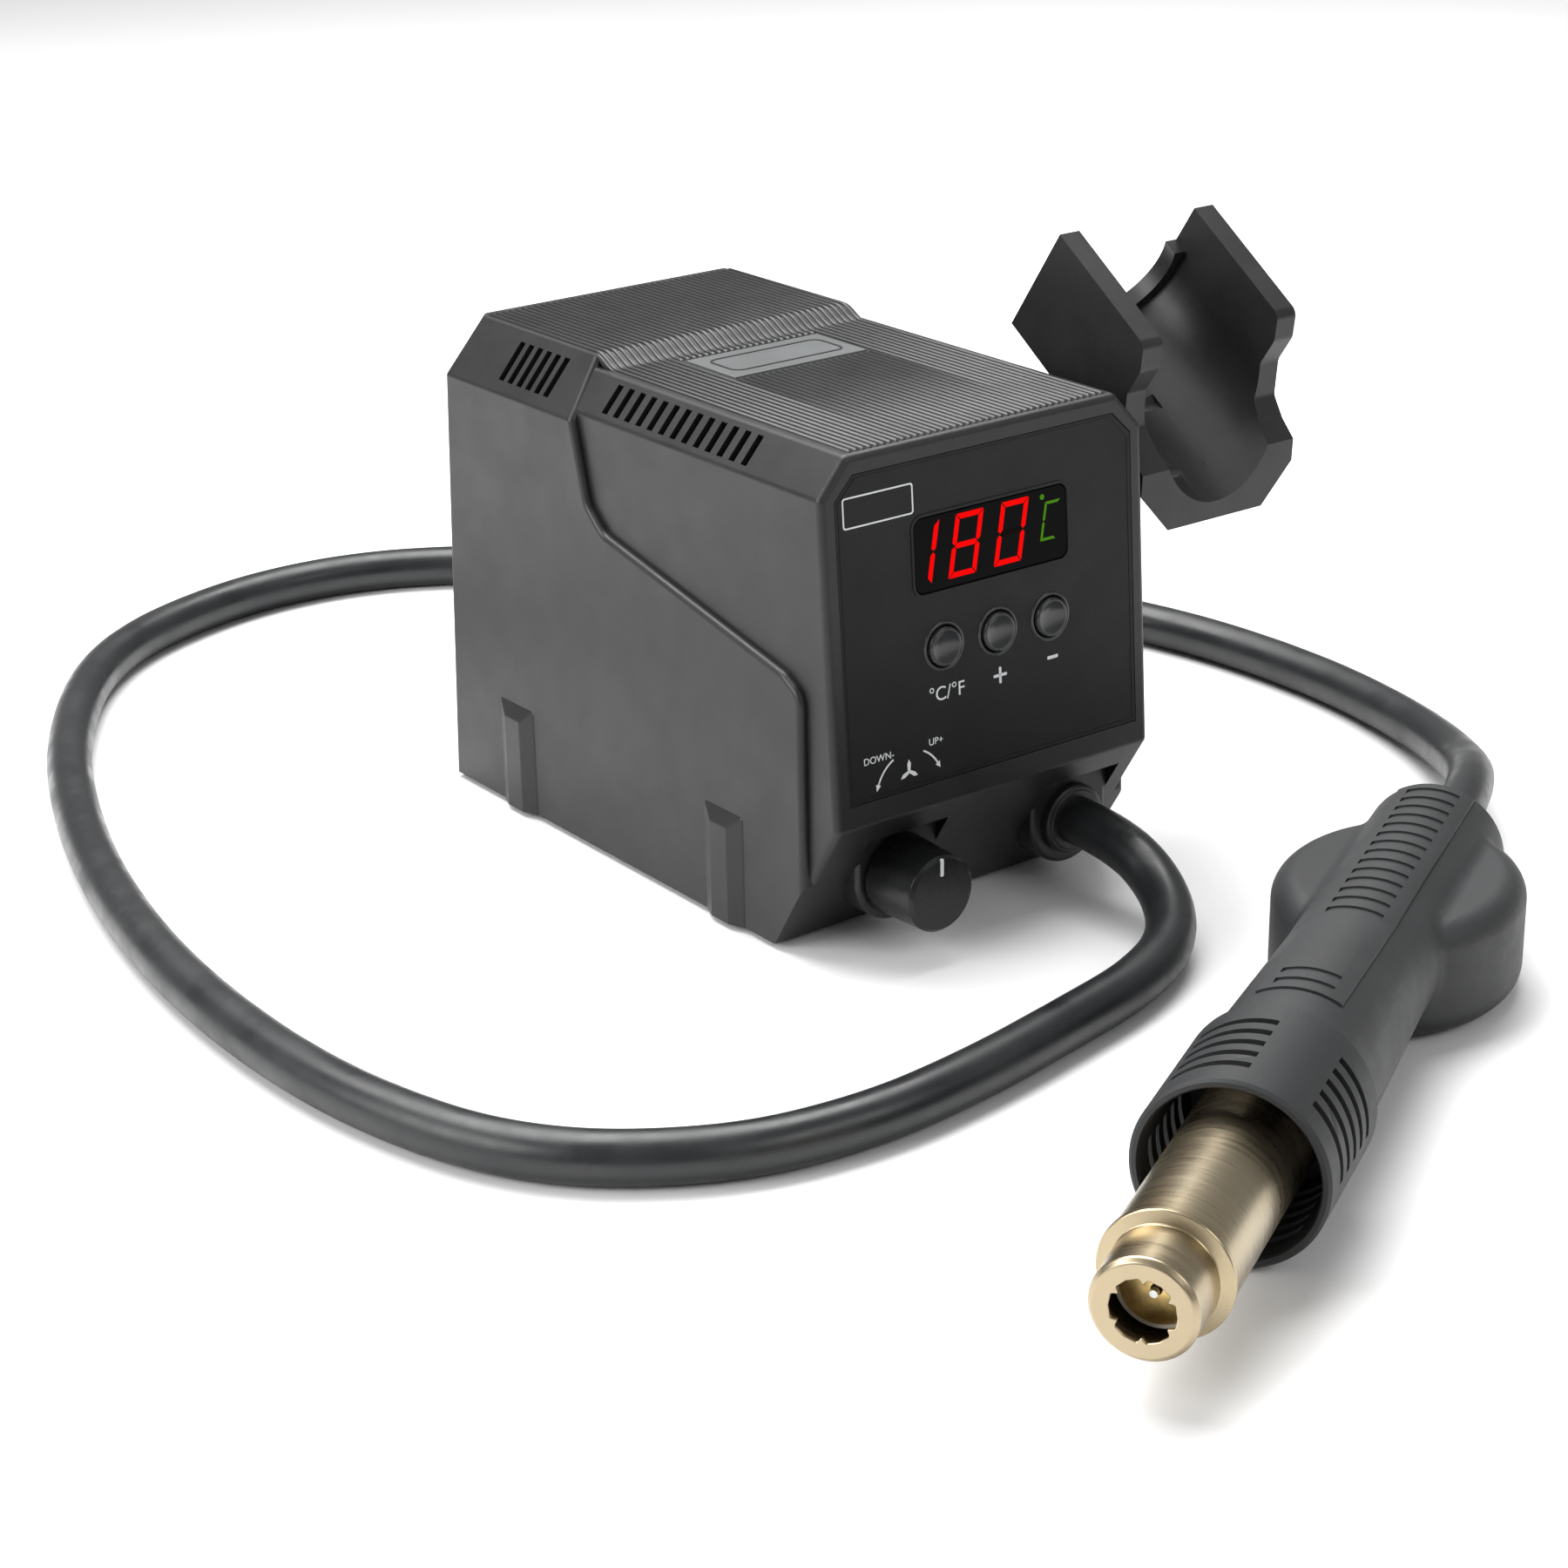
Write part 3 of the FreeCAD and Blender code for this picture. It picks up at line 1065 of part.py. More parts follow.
# ---------------------------------------------------------------- handpiece: hot end
def make_hot_end():
    tube = lathe("tube_body", [
        ("0", "0"), ("neck_r - 1", "0"), ("neck_r", "1"), ("neck_r", "neck_len"),
        ("bead_r", "neck_len + 0.6"), ("bead_r", "neck_len + bead_len - 0.6"),
        ("barrel_r", "neck_len + bead_len"), ("barrel_r", "barrel_end"),
        ("barrel_r - barrel_wall", "barrel_end"), ("barrel_r - barrel_wall", "neck_len + 1.4"),
        ("neck_r - barrel_wall", "neck_len + 0.7"), ("neck_r - barrel_wall", "tip_t"), ("0", "tip_t")])
    # six wide lobes with a small point between each two
    outlet = body_sketch(tube, "xy", "outlet_outline", [
        (f"{reach} * cos({60 * lobe + turn})", f"{reach} * sin({60 * lobe + turn})")
        for lobe in range(6)
        for turn, reach in ((-22, "outlet_r"), (0, "outlet_r"), (22, "outlet_r"), (30, "outlet_point_r"))])
    hole = pad(tube, "outlet_hole", outlet, "tip_t * 2", "PartDesign::Pocket")
    hole.Reversed = True
    tube.Tip = hole
    node("nozzle_tube", tube, HAND)
    sleeve = lathe("mica_body", [
        ("mica_r - mica_t", "mica_front"), ("mica_r", "mica_front"),
        ("mica_r", "mica_front + mica_len"), ("mica_r - mica_t", "mica_front + mica_len")])
    node("mica_sleeve", sleeve, HAND)
    former = new_body("former_body")
    face = body_sketch(former, "xy", "former_face", lift="former_front + disc_t")
    draw_circle(face, "former_r")
    draw_circle(face, "probe_r + 0.3")
    for i in range(int(value("former_holes"))):
        turn = f"{i} * 360 / former_holes"
        draw_circle(face, "former_hole_r",
                    (f"former_r * 0.6 * cos({turn})", f"former_r * 0.6 * sin({turn})"))
    former.Tip = pad(former, "former_pad", face, "former_len")
    node("heater_former", former, HAND)
    rings = [ring(f"coil_turn_{i}", "coil_ring_r", "coil_wire_r",
                  ("0", "0", f"former_front + 8 + {i} * (former_len - 16) / (coil_rings - 1)"))
             for i in range(int(value("coil_rings")))]
    lead = rod("coil_lead", "coil_wire_r", "former_len - 16",
               ("coil_ring_r + coil_wire_r * 0.4", "0", "former_front + 8"))
    node("heater_coil", join("coil_winding", lead, *rings), HAND)
    disc = lathe("disc_body", [
        ("probe_r + 0.3", "former_front"), ("disc_r", "former_front"),
        ("disc_r", "former_front + disc_t"), ("probe_r + 0.3", "former_front + disc_t")])
    node("heater_disc", disc, HAND)
    bush = lathe("heater_bush_body", [
        ("former_r", "barrel_end - 4"), ("barrel_r - barrel_wall", "barrel_end - 4"),
        ("barrel_r - barrel_wall", "barrel_end - 1"), ("former_r", "barrel_end - 1")])
    node("heater_bush", bush, HAND)
    node("thermocouple", rod("probe", "probe_r", "probe_len", ("0", "0", "former_front - 2")), HAND)


def slot_sector(name, z, middle_angle):
    """One curved slot: a sector of a flat ring."""
    outer = rod(name + "_outer", "collar_r + 2", "slot_w", ("0", "0", z), angle="slot_arc")
    inner = rod(name + "_inner", "collar_r - collar_wall - 2", "slot_w * 2", ("0", "0", f"{z} - slot_w / 2"))
    sector = cut(name, outer, inner)
    sector.Placement = Placement(Vector(), Rotation(AXES["z"], middle_angle - value("slot_arc") / 2))
    return sector


def make_collar():
    back = "(collar_front + collar_len)"
    body = lathe("collar_body", [
        ("collar_r - collar_wall", "collar_front + 0.8"), ("collar_r - collar_wall + 0.5", "collar_front"),
        ("collar_r - 0.7", "collar_front"), ("collar_r", "collar_front + 0.7"),
        ("collar_r", f"{back} - collar_edge"), ("collar_r - 1", back), ("barrel_r + 0.15", back),
        ("barrel_r + 0.15", f"{back} - collar_web"), ("collar_r - collar_wall", f"{back} - collar_web")])
    slots = [
        slot_sector(f"slot_{i}_{k}", f"collar_front + slot_first + {i} * slot_pitch",
                    90 - value("slot_turn") + 90 * k)
        for i in range(5) for k in range(4)]
    node("guard_collar", cut("collar", body, *slots), HAND)


make_hot_end()
make_collar()


# ---------------------------------------------------------------- handpiece: handle shells
def ellipse_prism(name, half_w, half_l, low, high):
    """An upright block with an elliptical plan, round the blower's axis."""
    plan = doc.addObject("Part::Ellipse", name + "_plan")
    bind(plan, "MajorRadius", half_l)
    bind(plan, "MinorRadius", half_w)
    plan.Placement = Placement(Vector(), Rotation(AXES["x"], -90) * Rotation(AXES["z"], 90))
    move(plan, ("0", low, "bulge_z"))
    item = doc.addObject("Part::Extrusion", name)
    item.Base = plan
    item.DirMode = "Custom"
    item.Dir = Vector(0, 1, 0)
    item.Solid = True
    bind(item, "LengthFwd", f"({high}) - ({low})")
    return item


def handle_tube(name, inset):
    """The handle's round core: a taper, a straight length and a rounded end."""
    front = "(collar_front + collar_len)"
    end = f"(handle_end - {inset})"
    return lathe(name, [
        ("0", front), (f"handle_front_r - {inset}", front), (f"handle_r - {inset}", "handle_taper_end"),
        (f"handle_r - {inset}", f"{end} - 6"), (f"handle_r - 1.5 - {inset}", f"{end} - 2.4"),
        (f"handle_r - 5 - {inset}", end), ("0", end)])


def handle_form(name, inset):
    bulge = ellipse_prism(name + "_bulge", f"bulge_w - {inset}", f"bulge_len - {inset}",
                          f"{inset} - bulge_down", f"bulge_up - {inset}")
    if inset == "0":
        bulge = soften(name + "_bulge_soft", bulge, "bulge_round", lambda edge: edge.isClosed())
    form = join(name, handle_tube(name + "_tube", inset), bulge)
    if inset == "0":
        form = soften(name + "_blend", form, "bulge_blend", meets_bulge)
    return form


def meets_bulge(edge):
    """Edges where the blower's bulge comes out of the round handle."""
    start, end = edge.ParameterRange
    points = [edge.valueAt(start + (end - start) * share) for share in (0.1, 0.5, 0.9)]
    radius = value("handle_r")
    on_handle = all(abs(math.hypot(point.x, point.y) - radius) < 0.05 for point in points)
    beside = all(abs(point.x) > 3 for point in points) and points[1].y > 1.4 - radius
    reach = value("bulge_len") + 0.1
    near = abs(points[1].z - value("bulge_z")) < reach
    return on_handle and beside and near and edge.Length > 3


def make_handle():
    outer = handle_form("handle_outer", "0")
    inner = handle_form("handle_inner", "handle_wall")
    hose_hole = rod("handle_hose_hole", "hose_collar_r - 1.5 + fit", "20", ("0", "0", "handle_end - 10"))
    grille = [box(f"intake_slot_{i}", ("30", "20", "2.2"),
                  ("0 - 15", "0 - bulge_down - 10", f"bulge_z - 12 + {i} * 4.6")) for i in range(6)]
    shell = cut("handle_shell", outer, inner, hose_hole)
    reach = "handle_end + 20"
    upper_half = box("upper_half", ("80", "60", reach), ("0 - 40", "0", "0"))
    lower_half = box("lower_half", ("80", "60", reach), ("0 - 40", "0 - 60", "0"))
    places = [
        (f"{sx} * {x}", z) for sx in (-1, 1)
        for x, z in (("12", "handle_taper_end - 30"), ("10.5", "bulge_z + bulge_len - 8.4"))]
    posts, holes, screws = [], [], []
    for i, (x, z) in enumerate(places):
        post = rod(f"handle_post_{i}", "3.6", "2 * handle_r", (x, "0 - handle_r", z), "y")
        posts.append(overlap(f"handle_post_in_{i}", post, outer))
        holes.append(rod(f"handle_screw_hole_{i}", "screw_r", "12.5", (x, "0 - 6", z), "y"))
        holes.append(rod(f"handle_screw_sink_{i}", "2.8", "handle_r", (x, "0 - 5.5 - handle_r", z), "y"))
        screws.append(join(
            f"handle_screw_{i}",
            rod(f"handle_screw_shank_{i}", "screw_r", "11.5", (x, "0 - 5.5", z), "y"),
            rod(f"handle_screw_head_{i}", "2.5", "1.6", (x, "0 - 7.1", z), "y")))
    node("handle_upper", half_shell("upper", shell, upper_half, posts, [*holes, grip_form("grip_seat", "0")]),
         HAND)
    node("handle_lower", half_shell("lower", shell, lower_half, posts, [*holes, *grille]), HAND)
    node("handle_screws", group("handle_screw_set", screws), HAND)
    strip = overlap("grip", grip_form("grip_blank", "0.1"), handle_tube("grip_outside", "(0 - grip_out)"))
    starts = [f"grip_front + 3 + {i} * groove_pitch" for i in range(2)]
    starts += [f"grip_rear - 3 - groove_w - {i} * groove_pitch" for i in range(14)]
    grooves = cut("grip_grooves", group("groove_blocks", [
        box(f"groove_{i}", ("grip_w - 6", "20", "groove_w"), ("3 - grip_w / 2", "5", start))
        for i, start in enumerate(starts)]), handle_tube("groove_core", "0"))
    node("grip_strip", cut("grip_grooved", strip, grooves), HAND)


def half_shell(name, shell, half, posts, tools):
    skin = overlap(name + "_skin", shell, half)
    inner_posts = [overlap(f"{name}_post_{i}", post, half) for i, post in enumerate(posts)]
    return cut(name + "_handle", join(name + "_solid", skin, *inner_posts), *tools)


def grip_form(name, gap):
    """The strip on the handle's top: a block less the handle's own core."""
    block = box(name + "_block", (f"grip_w - 2 * {gap}", "20", f"grip_rear - grip_front - 2 * {gap}"),
                (f"{gap} - grip_w / 2", "5", f"grip_front + {gap}"))
    return cut(name, block, handle_tube(name + "_core", "grip_t"))


make_handle()


# ---------------------------------------------------------------- handpiece: blower
def make_blower():
    case = join(
        "fan_case_form",
        rod("fan_case_round", "fan_r", "fan_t", ("0", "fan_low", "bulge_z"), "y"),
        box("fan_outlet", ("outlet_w + 2 * fan_wall", "outlet_h + 2 * fan_wall", "fan_r + 14"),
            ("0 - outlet_w / 2 - fan_wall", "fan_low", "bulge_z - fan_r - 14")))
    hollow = join(
        "fan_hollow",
        rod("fan_hollow_round", "fan_r - fan_wall", "fan_t - 2 * fan_wall",
            ("0", "fan_low + fan_wall", "bulge_z"), "y"),
        box("fan_outlet_way", ("outlet_w", "outlet_h", "fan_r + 18"),
            ("0 - outlet_w / 2", "fan_low + fan_wall", "bulge_z - fan_r - 18")))
    inlet = rod("fan_inlet", "fan_inlet_r", "fan_wall * 4", ("0", "fan_low - fan_wall", "bulge_z"), "y")
    seat = rod("fan_motor_seat", "motor_r + fit", "fan_wall * 4",
               ("0", "fan_low + fan_t - 3 * fan_wall", "bulge_z"), "y")
    node("blower_case", cut("fan_case", case, hollow, inlet, seat), HAND)
    motor = join(
        "fan_motor_form",
        rod("fan_motor", "motor_r", "3.2", ("0", "fan_low + fan_t - fan_wall", "bulge_z"), "y"),
        rod("fan_axle", "axle_r", "fan_t", ("0", "fan_low + 1", "bulge_z"), "y"))
    node("blower_motor", motor, HAND)

    wheel_low = "(fan_low + fan_wall + 0.8)"
    hub = rod("wheel_hub", "wheel_hub_r", "wheel_t", ("0", wheel_low, "bulge_z"), "y")
    disc = rod("wheel_disc", "wheel_r", "1.2", ("0", f"{wheel_low} + wheel_t - 1.2", "bulge_z"), "y")
    count = int(value("blades"))
    blades = []
    for i in range(count):
        blade = box(f"blade_{i}", ("wheel_r - wheel_hub_r - 5", "wheel_t", "0.9"), ("0", "0", "0"))
        turn = Rotation(AXES["y"], 360.0 * i / count)
        start = turn.multVec(Vector(value("wheel_r - 0.3"), 0, 0))
        sweep = turn * Rotation(AXES["y"], 155)
        item = group(f"blade_place_{i}", [blade], Placement(
            Vector(start.x, value(wheel_low), start.z + value("bulge_z")), sweep))
        blades.append(item)
    hole = rod("wheel_bore", "axle_r + axle_fit", "wheel_t + 2", ("0", f"{wheel_low} - 1", "bulge_z"), "y")
    node("impeller", cut("wheel", join("wheel_form", hub, disc, *blades), hole), HAND)

    board = box("reed_board", ("12", "1.2", "26"), ("0 - 6", "8.5", "handle_taper_end - 14"))
    glass = rod("reed_glass", "1.1", "16", ("0", "7.7", "handle_taper_end - 9"))
    node("reed_switch", join("reed", board, glass), HAND)
    sleeve = lathe("hose_collar_body", [
        ("hose_r - 1.5", "handle_end - 4"), ("hose_collar_r - 1.5", "handle_end - 4"),
        ("hose_collar_r - 1.5", "handle_end"), ("hose_collar_r", "handle_end"),
        ("hose_collar_r - 1.6", "handle_end + hose_collar_len - 1"),
        ("hose_collar_r - 2.2", "handle_end + hose_collar_len"),
        ("hose_r - 1.5", "handle_end + hose_collar_len")])
    node("hose_collar", sleeve, HAND)


make_blower()


# ---------------------------------------------------------------- hose
FLOOR = value("hose_lift")
HOSE_START = BASE.multVec(Vector(value("gland_x"), value("gland_front"), value("boss_z")))
HOSE_END = HAND.multVec(Vector(0, 0, value("handle_end + hose_collar_len")))
# both ends leave their pieces squarely, so each has a straight first run
HOSE_LEAVE = HOSE_START - Vector(0, 18, 0)
HOSE_APPROACH = HAND.multVec(Vector(0, 0, value("handle_end + hose_collar_len + 32")))
HOSE_ROUTE = [
    HOSE_START,
    HOSE_LEAVE, Vector(40.5, -19, 10.6), Vector(28, -35, 6.8), Vector(6, -46, FLOOR),
    Vector(-22, -52, FLOOR), Vector(-52, -58, FLOOR), Vector(-86, -61, FLOOR),
    Vector(-121, -54, FLOOR), Vector(-155, -27, FLOOR), Vector(-170, 21, FLOOR),
    Vector(-172, 78, FLOOR), Vector(-165, 136, FLOOR), Vector(-149, 197, FLOOR),
    Vector(-122, 263, FLOOR), Vector(-82, 321, FLOOR), Vector(-30, 345, FLOOR),
    Vector(16, 345, FLOOR), Vector(54, 325, FLOOR), Vector(95, 286, FLOOR),
    Vector(136, 237, FLOOR), Vector(168, 184, FLOOR), Vector(186, 131, FLOOR),
    Vector(189, 77, FLOOR), Vector(180, 30, 7.2), Vector(163, -4, 10.5),
    HOSE_APPROACH,
    HOSE_END,
]


def rounded_path(points):
    """Straight runs joined by tangent arcs, each as large as its two runs allow."""
    share = 0.45
    edges, radii, length = [], [], 0.0
    start = points[0]
    for before, corner, after in zip(points, points[1:], points[2:]):
        back, ahead = before - corner, after - corner
        shorter = min(back.Length, ahead.Length)
        back.normalize()
        ahead.normalize()
        turn = math.pi - back.getAngle(ahead)
        tangent = share * shorter
        radius = tangent / math.tan(turn / 2)
        arc_start, arc_end = corner + back * tangent, corner + ahead * tangent
        middle = back + ahead
        middle.normalize()
        to_centre = math.hypot(radius, tangent)
        arc_middle = corner + middle * (to_centre - radius)
        edges.append(Part.LineSegment(start, arc_start).toShape())
        edges.append(Part.Arc(arc_start, arc_middle, arc_end).toShape())
        radii.append(round(radius, 1))
        length += (arc_start - start).Length + radius * turn
        start = arc_end
    edges.append(Part.LineSegment(start, points[-1]).toShape())
    length += (points[-1] - start).Length
    return Part.Wire(edges), radii, length


def make_hose():
    path, radii, length = rounded_path(HOSE_ROUTE)
    radius = value("hose_r")
    first = HOSE_ROUTE[1] - HOSE_ROUTE[0]
    section = Part.Wire(Part.Circle(HOSE_ROUTE[0], first, radius).toShape())
    tube = path.makePipeShell([section], True, False)
    hose = doc.addObject("Part::Feature", "hose_tube")
    hose.Shape = tube
    node("air_hose", hose, Placement())
    print("hose radii", radii)
    print("hose length %.1f" % length)
    print("hose volume over section x length %.4f"
          % (tube.Volume / (math.pi * radius ** 2 * length)))


make_hose()


# ---------------------------------------------------------------- check and write
doc.recompute()
faults = []
for item in doc.Objects:
    if any(word in ("Invalid", "Error") for word in item.State):
        faults.append(f"{item.Name}: {item.State}")
for item in nodes:
    shape = item.Shape
    if shape.isNull() or not shape.isValid() or not shape.Solids:
        faults.append(f"{item.Label}: its shape is missing or not valid")
if faults:
    raise RuntimeError("; ".join(faults))
os.makedirs("parts", exist_ok=True)
for item in nodes:
    item.Shape.exportStep(f"parts/{item.Label}.step")
whole = FreeCAD.BoundBox()
for item in nodes:
    if item.Label != "air_hose":
        whole.add(item.Shape.BoundBox)
print("nodes", len(nodes))
print("box without the hose", whole)
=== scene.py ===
import json
import math

import bmesh
import bpy
from mathutils import Matrix, Vector
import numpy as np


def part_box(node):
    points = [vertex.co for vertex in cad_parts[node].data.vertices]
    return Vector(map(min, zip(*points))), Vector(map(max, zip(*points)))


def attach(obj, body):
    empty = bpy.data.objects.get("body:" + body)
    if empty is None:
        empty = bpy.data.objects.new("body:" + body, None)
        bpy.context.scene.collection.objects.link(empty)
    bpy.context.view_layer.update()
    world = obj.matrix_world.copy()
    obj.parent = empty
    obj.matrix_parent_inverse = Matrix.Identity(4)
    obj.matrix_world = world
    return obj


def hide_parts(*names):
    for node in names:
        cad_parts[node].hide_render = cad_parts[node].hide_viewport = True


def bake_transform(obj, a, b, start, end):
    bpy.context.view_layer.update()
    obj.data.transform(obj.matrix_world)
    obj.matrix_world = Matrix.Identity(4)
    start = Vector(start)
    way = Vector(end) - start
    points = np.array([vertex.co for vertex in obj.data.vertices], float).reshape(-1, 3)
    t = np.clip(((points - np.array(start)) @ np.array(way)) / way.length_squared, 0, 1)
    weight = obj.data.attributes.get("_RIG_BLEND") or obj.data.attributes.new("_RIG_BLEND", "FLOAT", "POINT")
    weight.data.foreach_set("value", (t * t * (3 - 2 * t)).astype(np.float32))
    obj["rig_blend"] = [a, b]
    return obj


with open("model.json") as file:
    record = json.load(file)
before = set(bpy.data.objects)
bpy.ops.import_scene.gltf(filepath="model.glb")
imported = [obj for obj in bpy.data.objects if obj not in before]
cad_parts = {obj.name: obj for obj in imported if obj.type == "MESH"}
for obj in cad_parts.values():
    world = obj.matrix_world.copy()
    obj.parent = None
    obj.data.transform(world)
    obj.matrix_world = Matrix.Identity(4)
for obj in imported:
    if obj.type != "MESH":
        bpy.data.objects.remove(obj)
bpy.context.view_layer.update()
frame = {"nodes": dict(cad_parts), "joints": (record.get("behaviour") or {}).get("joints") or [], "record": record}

MM = 0.001
record = frame["record"]
nodes = frame["nodes"]
mounts = {mount["name"]: mount for mount in record["mounts"]}
joints = {joint["name"]: joint for joint in frame["joints"]}


# ---------------------------------------------------------------- places, from the frame
def axes_at(origin, x_axis, y_axis, z_axis):
    """A matrix that takes a group's own coordinates, in metres, to the row frame."""
    turn = Matrix((x_axis, y_axis, z_axis)).transposed().to_4x4()
    return Matrix.Translation(origin) @ turn


def corner(node, high=False):
    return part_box(node)[1 if high else 0]


PANEL_LOW = 5.9 * MM          # the label plate's lower edge, up the face
PANEL_T = 0.8 * MM
ROOT = "base"

# the leaning front face: x, up the face, and out of it
_out = -Vector(joints["button_plus_press"]["axis"])
_up = _out.cross(Vector((1, 0, 0)))
_foot = corner("front_panel")
_middle = (corner("base_cover").x + corner("base_cover", True).x) / 2
FRONT = axes_at(
    Vector((_middle, _foot.y - PANEL_LOW * _up.y, _foot.z - PANEL_LOW * _up.z + PANEL_T * _out.z)),
    Vector((1, 0, 0)), _up, _out)

# the handpiece: side, up, and along it from its tip
_back = -Vector(mounts["nozzle_neck"]["axis"])
_hand_up = Vector(joints["impeller_spin"]["axis"])
HAND = axes_at(
    Vector(mounts["nozzle_neck"]["pos_m"]) - 7.5 * MM * _back,
    _hand_up.cross(_back), _hand_up, _back)

KNOB_AXIS = Vector(joints["knob_turn"]["pos_m"])


# ---------------------------------------------------------------- camera
FOCAL = 76.42                 # mm on a 36 mm sensor
CAMERA_PLACE = Vector((-482.06, -567.84, 346.33)) * MM
AZIMUTH, ELEVATION, ROLL = (math.radians(a) for a in (-36.46, 22.06, -1.11))


def make_camera():
    back = Vector((math.sin(AZIMUTH) * math.cos(ELEVATION),
                   -math.cos(AZIMUTH) * math.cos(ELEVATION), math.sin(ELEVATION)))
    right = Vector((math.cos(AZIMUTH), math.sin(AZIMUTH), 0))
    up = back.cross(right)
    rolled_right = math.cos(ROLL) * right + math.sin(ROLL) * up
    rolled_up = -math.sin(ROLL) * right + math.cos(ROLL) * up
    data = bpy.data.cameras.new("camera")
    data.lens = FOCAL
    data.sensor_width = 36
    data.clip_start = 0.01
    data.clip_end = 50
    camera = bpy.data.objects.new("camera", data)
    camera.matrix_world = axes_at(CAMERA_PLACE, rolled_right, rolled_up, back)
    bpy.context.scene.collection.objects.link(camera)
    bpy.context.scene.camera = camera


make_camera()


# ---------------------------------------------------------------- mesh helpers
def add_object(name, data, body=ROOT):
    piece = bpy.data.objects.new(name, data)
    bpy.context.scene.collection.objects.link(piece)
    if body:
        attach(piece, body)
    return piece


def mesh_from(name, verts, faces):
    mesh = bpy.data.meshes.new(name)
    mesh.from_pydata([tuple(v) for v in verts], [], faces)
    tidy = bmesh.new()
    tidy.from_mesh(mesh)
    bmesh.ops.recalc_face_normals(tidy, faces=tidy.faces)
    tidy.to_mesh(mesh)
    tidy.free()
    return mesh


def smooth(mesh, angle=35):
    """Smooth shading, with edges sharper than the angle left sharp."""
    mesh.polygons.foreach_set("use_smooth", [True] * len(mesh.polygons))
    mesh.set_sharp_from_angle(angle=math.radians(angle))


def place(mesh, matrix, scale=MM):
    """Drawn in a group's millimetres; put in the row frame in metres."""
    mesh.transform(matrix @ Matrix.Scale(scale, 4))
    return mesh


def applied(piece):
    """The piece with its modifiers worked into its mesh."""
    graph = bpy.context.evaluated_depsgraph_get()
    mesh = bpy.data.meshes.new_from_object(piece.evaluated_get(graph))
    piece.modifiers.clear()
    piece.data = mesh
    return piece


def bevelled(piece, width, segments=2, angle=32):
    bevel = piece.modifiers.new("bevel", "BEVEL")
    bevel.width = width * MM
    bevel.segments = segments
    bevel.limit_method = "ANGLE"
    bevel.angle_limit = math.radians(angle)
    bevel.use_clamp_overlap = True
    bevel.miter_outer = "MITER_ARC"
    smooth_normals = piece.modifiers.new("normals", "WEIGHTED_NORMAL")
    smooth_normals.keep_sharp = True
    return applied(piece)


def lathe(name, outline, steps=64, matrix=None, closed=True):
    """Turns (radius, along) points about Z."""
    verts, faces = [], []
    for i in range(steps):
        turn = 2 * math.pi * i / steps
        verts += [(r * math.cos(turn), r * math.sin(turn), z) for r, z in outline]
    count = len(outline)
    spans = count if closed else count - 1
    for i in range(steps):
        a, b = i * count, (i + 1) % steps * count
        for k in range(spans):
            j = (k + 1) % count
            faces.append((a + k, b + k, b + j, a + j))
    mesh = mesh_from(name, verts, faces)
    tidy = bmesh.new()
    tidy.from_mesh(mesh)
    bmesh.ops.remove_doubles(tidy, verts=tidy.verts, dist=1e-5)
    tidy.to_mesh(mesh)
    tidy.free()
    if matrix is not None:
        place(mesh, matrix)
    return mesh


def slab(outline, low, high):
    """Verts and faces of an upright prism over a plane outline."""
    count = len(outline)
    verts = [(x, y, low) for x, y in outline] + [(x, y, high) for x, y in outline]
    faces = [tuple(reversed(range(count))), tuple(range(count, 2 * count))]
    faces += [(i, (i + 1) % count, count + (i + 1) % count, count + i) for i in range(count)]
    return verts, faces


def merged(name, pieces):
    """One mesh from several (verts, faces)."""
    verts, faces = [], []
    for piece_verts, piece_faces in pieces:
        start = len(verts)
        verts += piece_verts
        faces += [tuple(start + i for i in face) for face in piece_faces]
    return mesh_from(name, verts, faces)


def arc(cx, cy, radius, start, end, steps=8):
    """Points on an arc, angles in degrees."""
    return [(cx + radius * math.cos(math.radians(start + (end - start) * i / steps)),
             cy + radius * math.sin(math.radians(start + (end - start) * i / steps)))
            for i in range(steps + 1)]


def rounded_rectangle(cx, cy, width, height, radius, steps=6):
    x, y = width / 2 - radius, height / 2 - radius
    points = []
    for sx, sy, start in ((1, 1, 0), (-1, 1, 90), (-1, -1, 180), (1, -1, 270)):
        points += arc(cx + sx * x, cy + sy * y, radius, start, start + 90, steps)
    return points


def frame_ring(outer, inner, low, high):
    """A flat ring between two outlines with as many points."""
    count = len(outer)
    verts = [(x, y, z) for z in (low, high) for loop in (outer, inner) for x, y in loop]
    faces = []
    for i in range(count):
        j = (i + 1) % count
        faces.append((2 * count + i, 2 * count + j, 3 * count + j, 3 * count + i))
        faces.append((j, i, count + i, count + j))
        faces.append((i, j, 2 * count + j, 2 * count + i))
        faces.append((count + j, count + i, 3 * count + i, 3 * count + j))
    return verts, faces


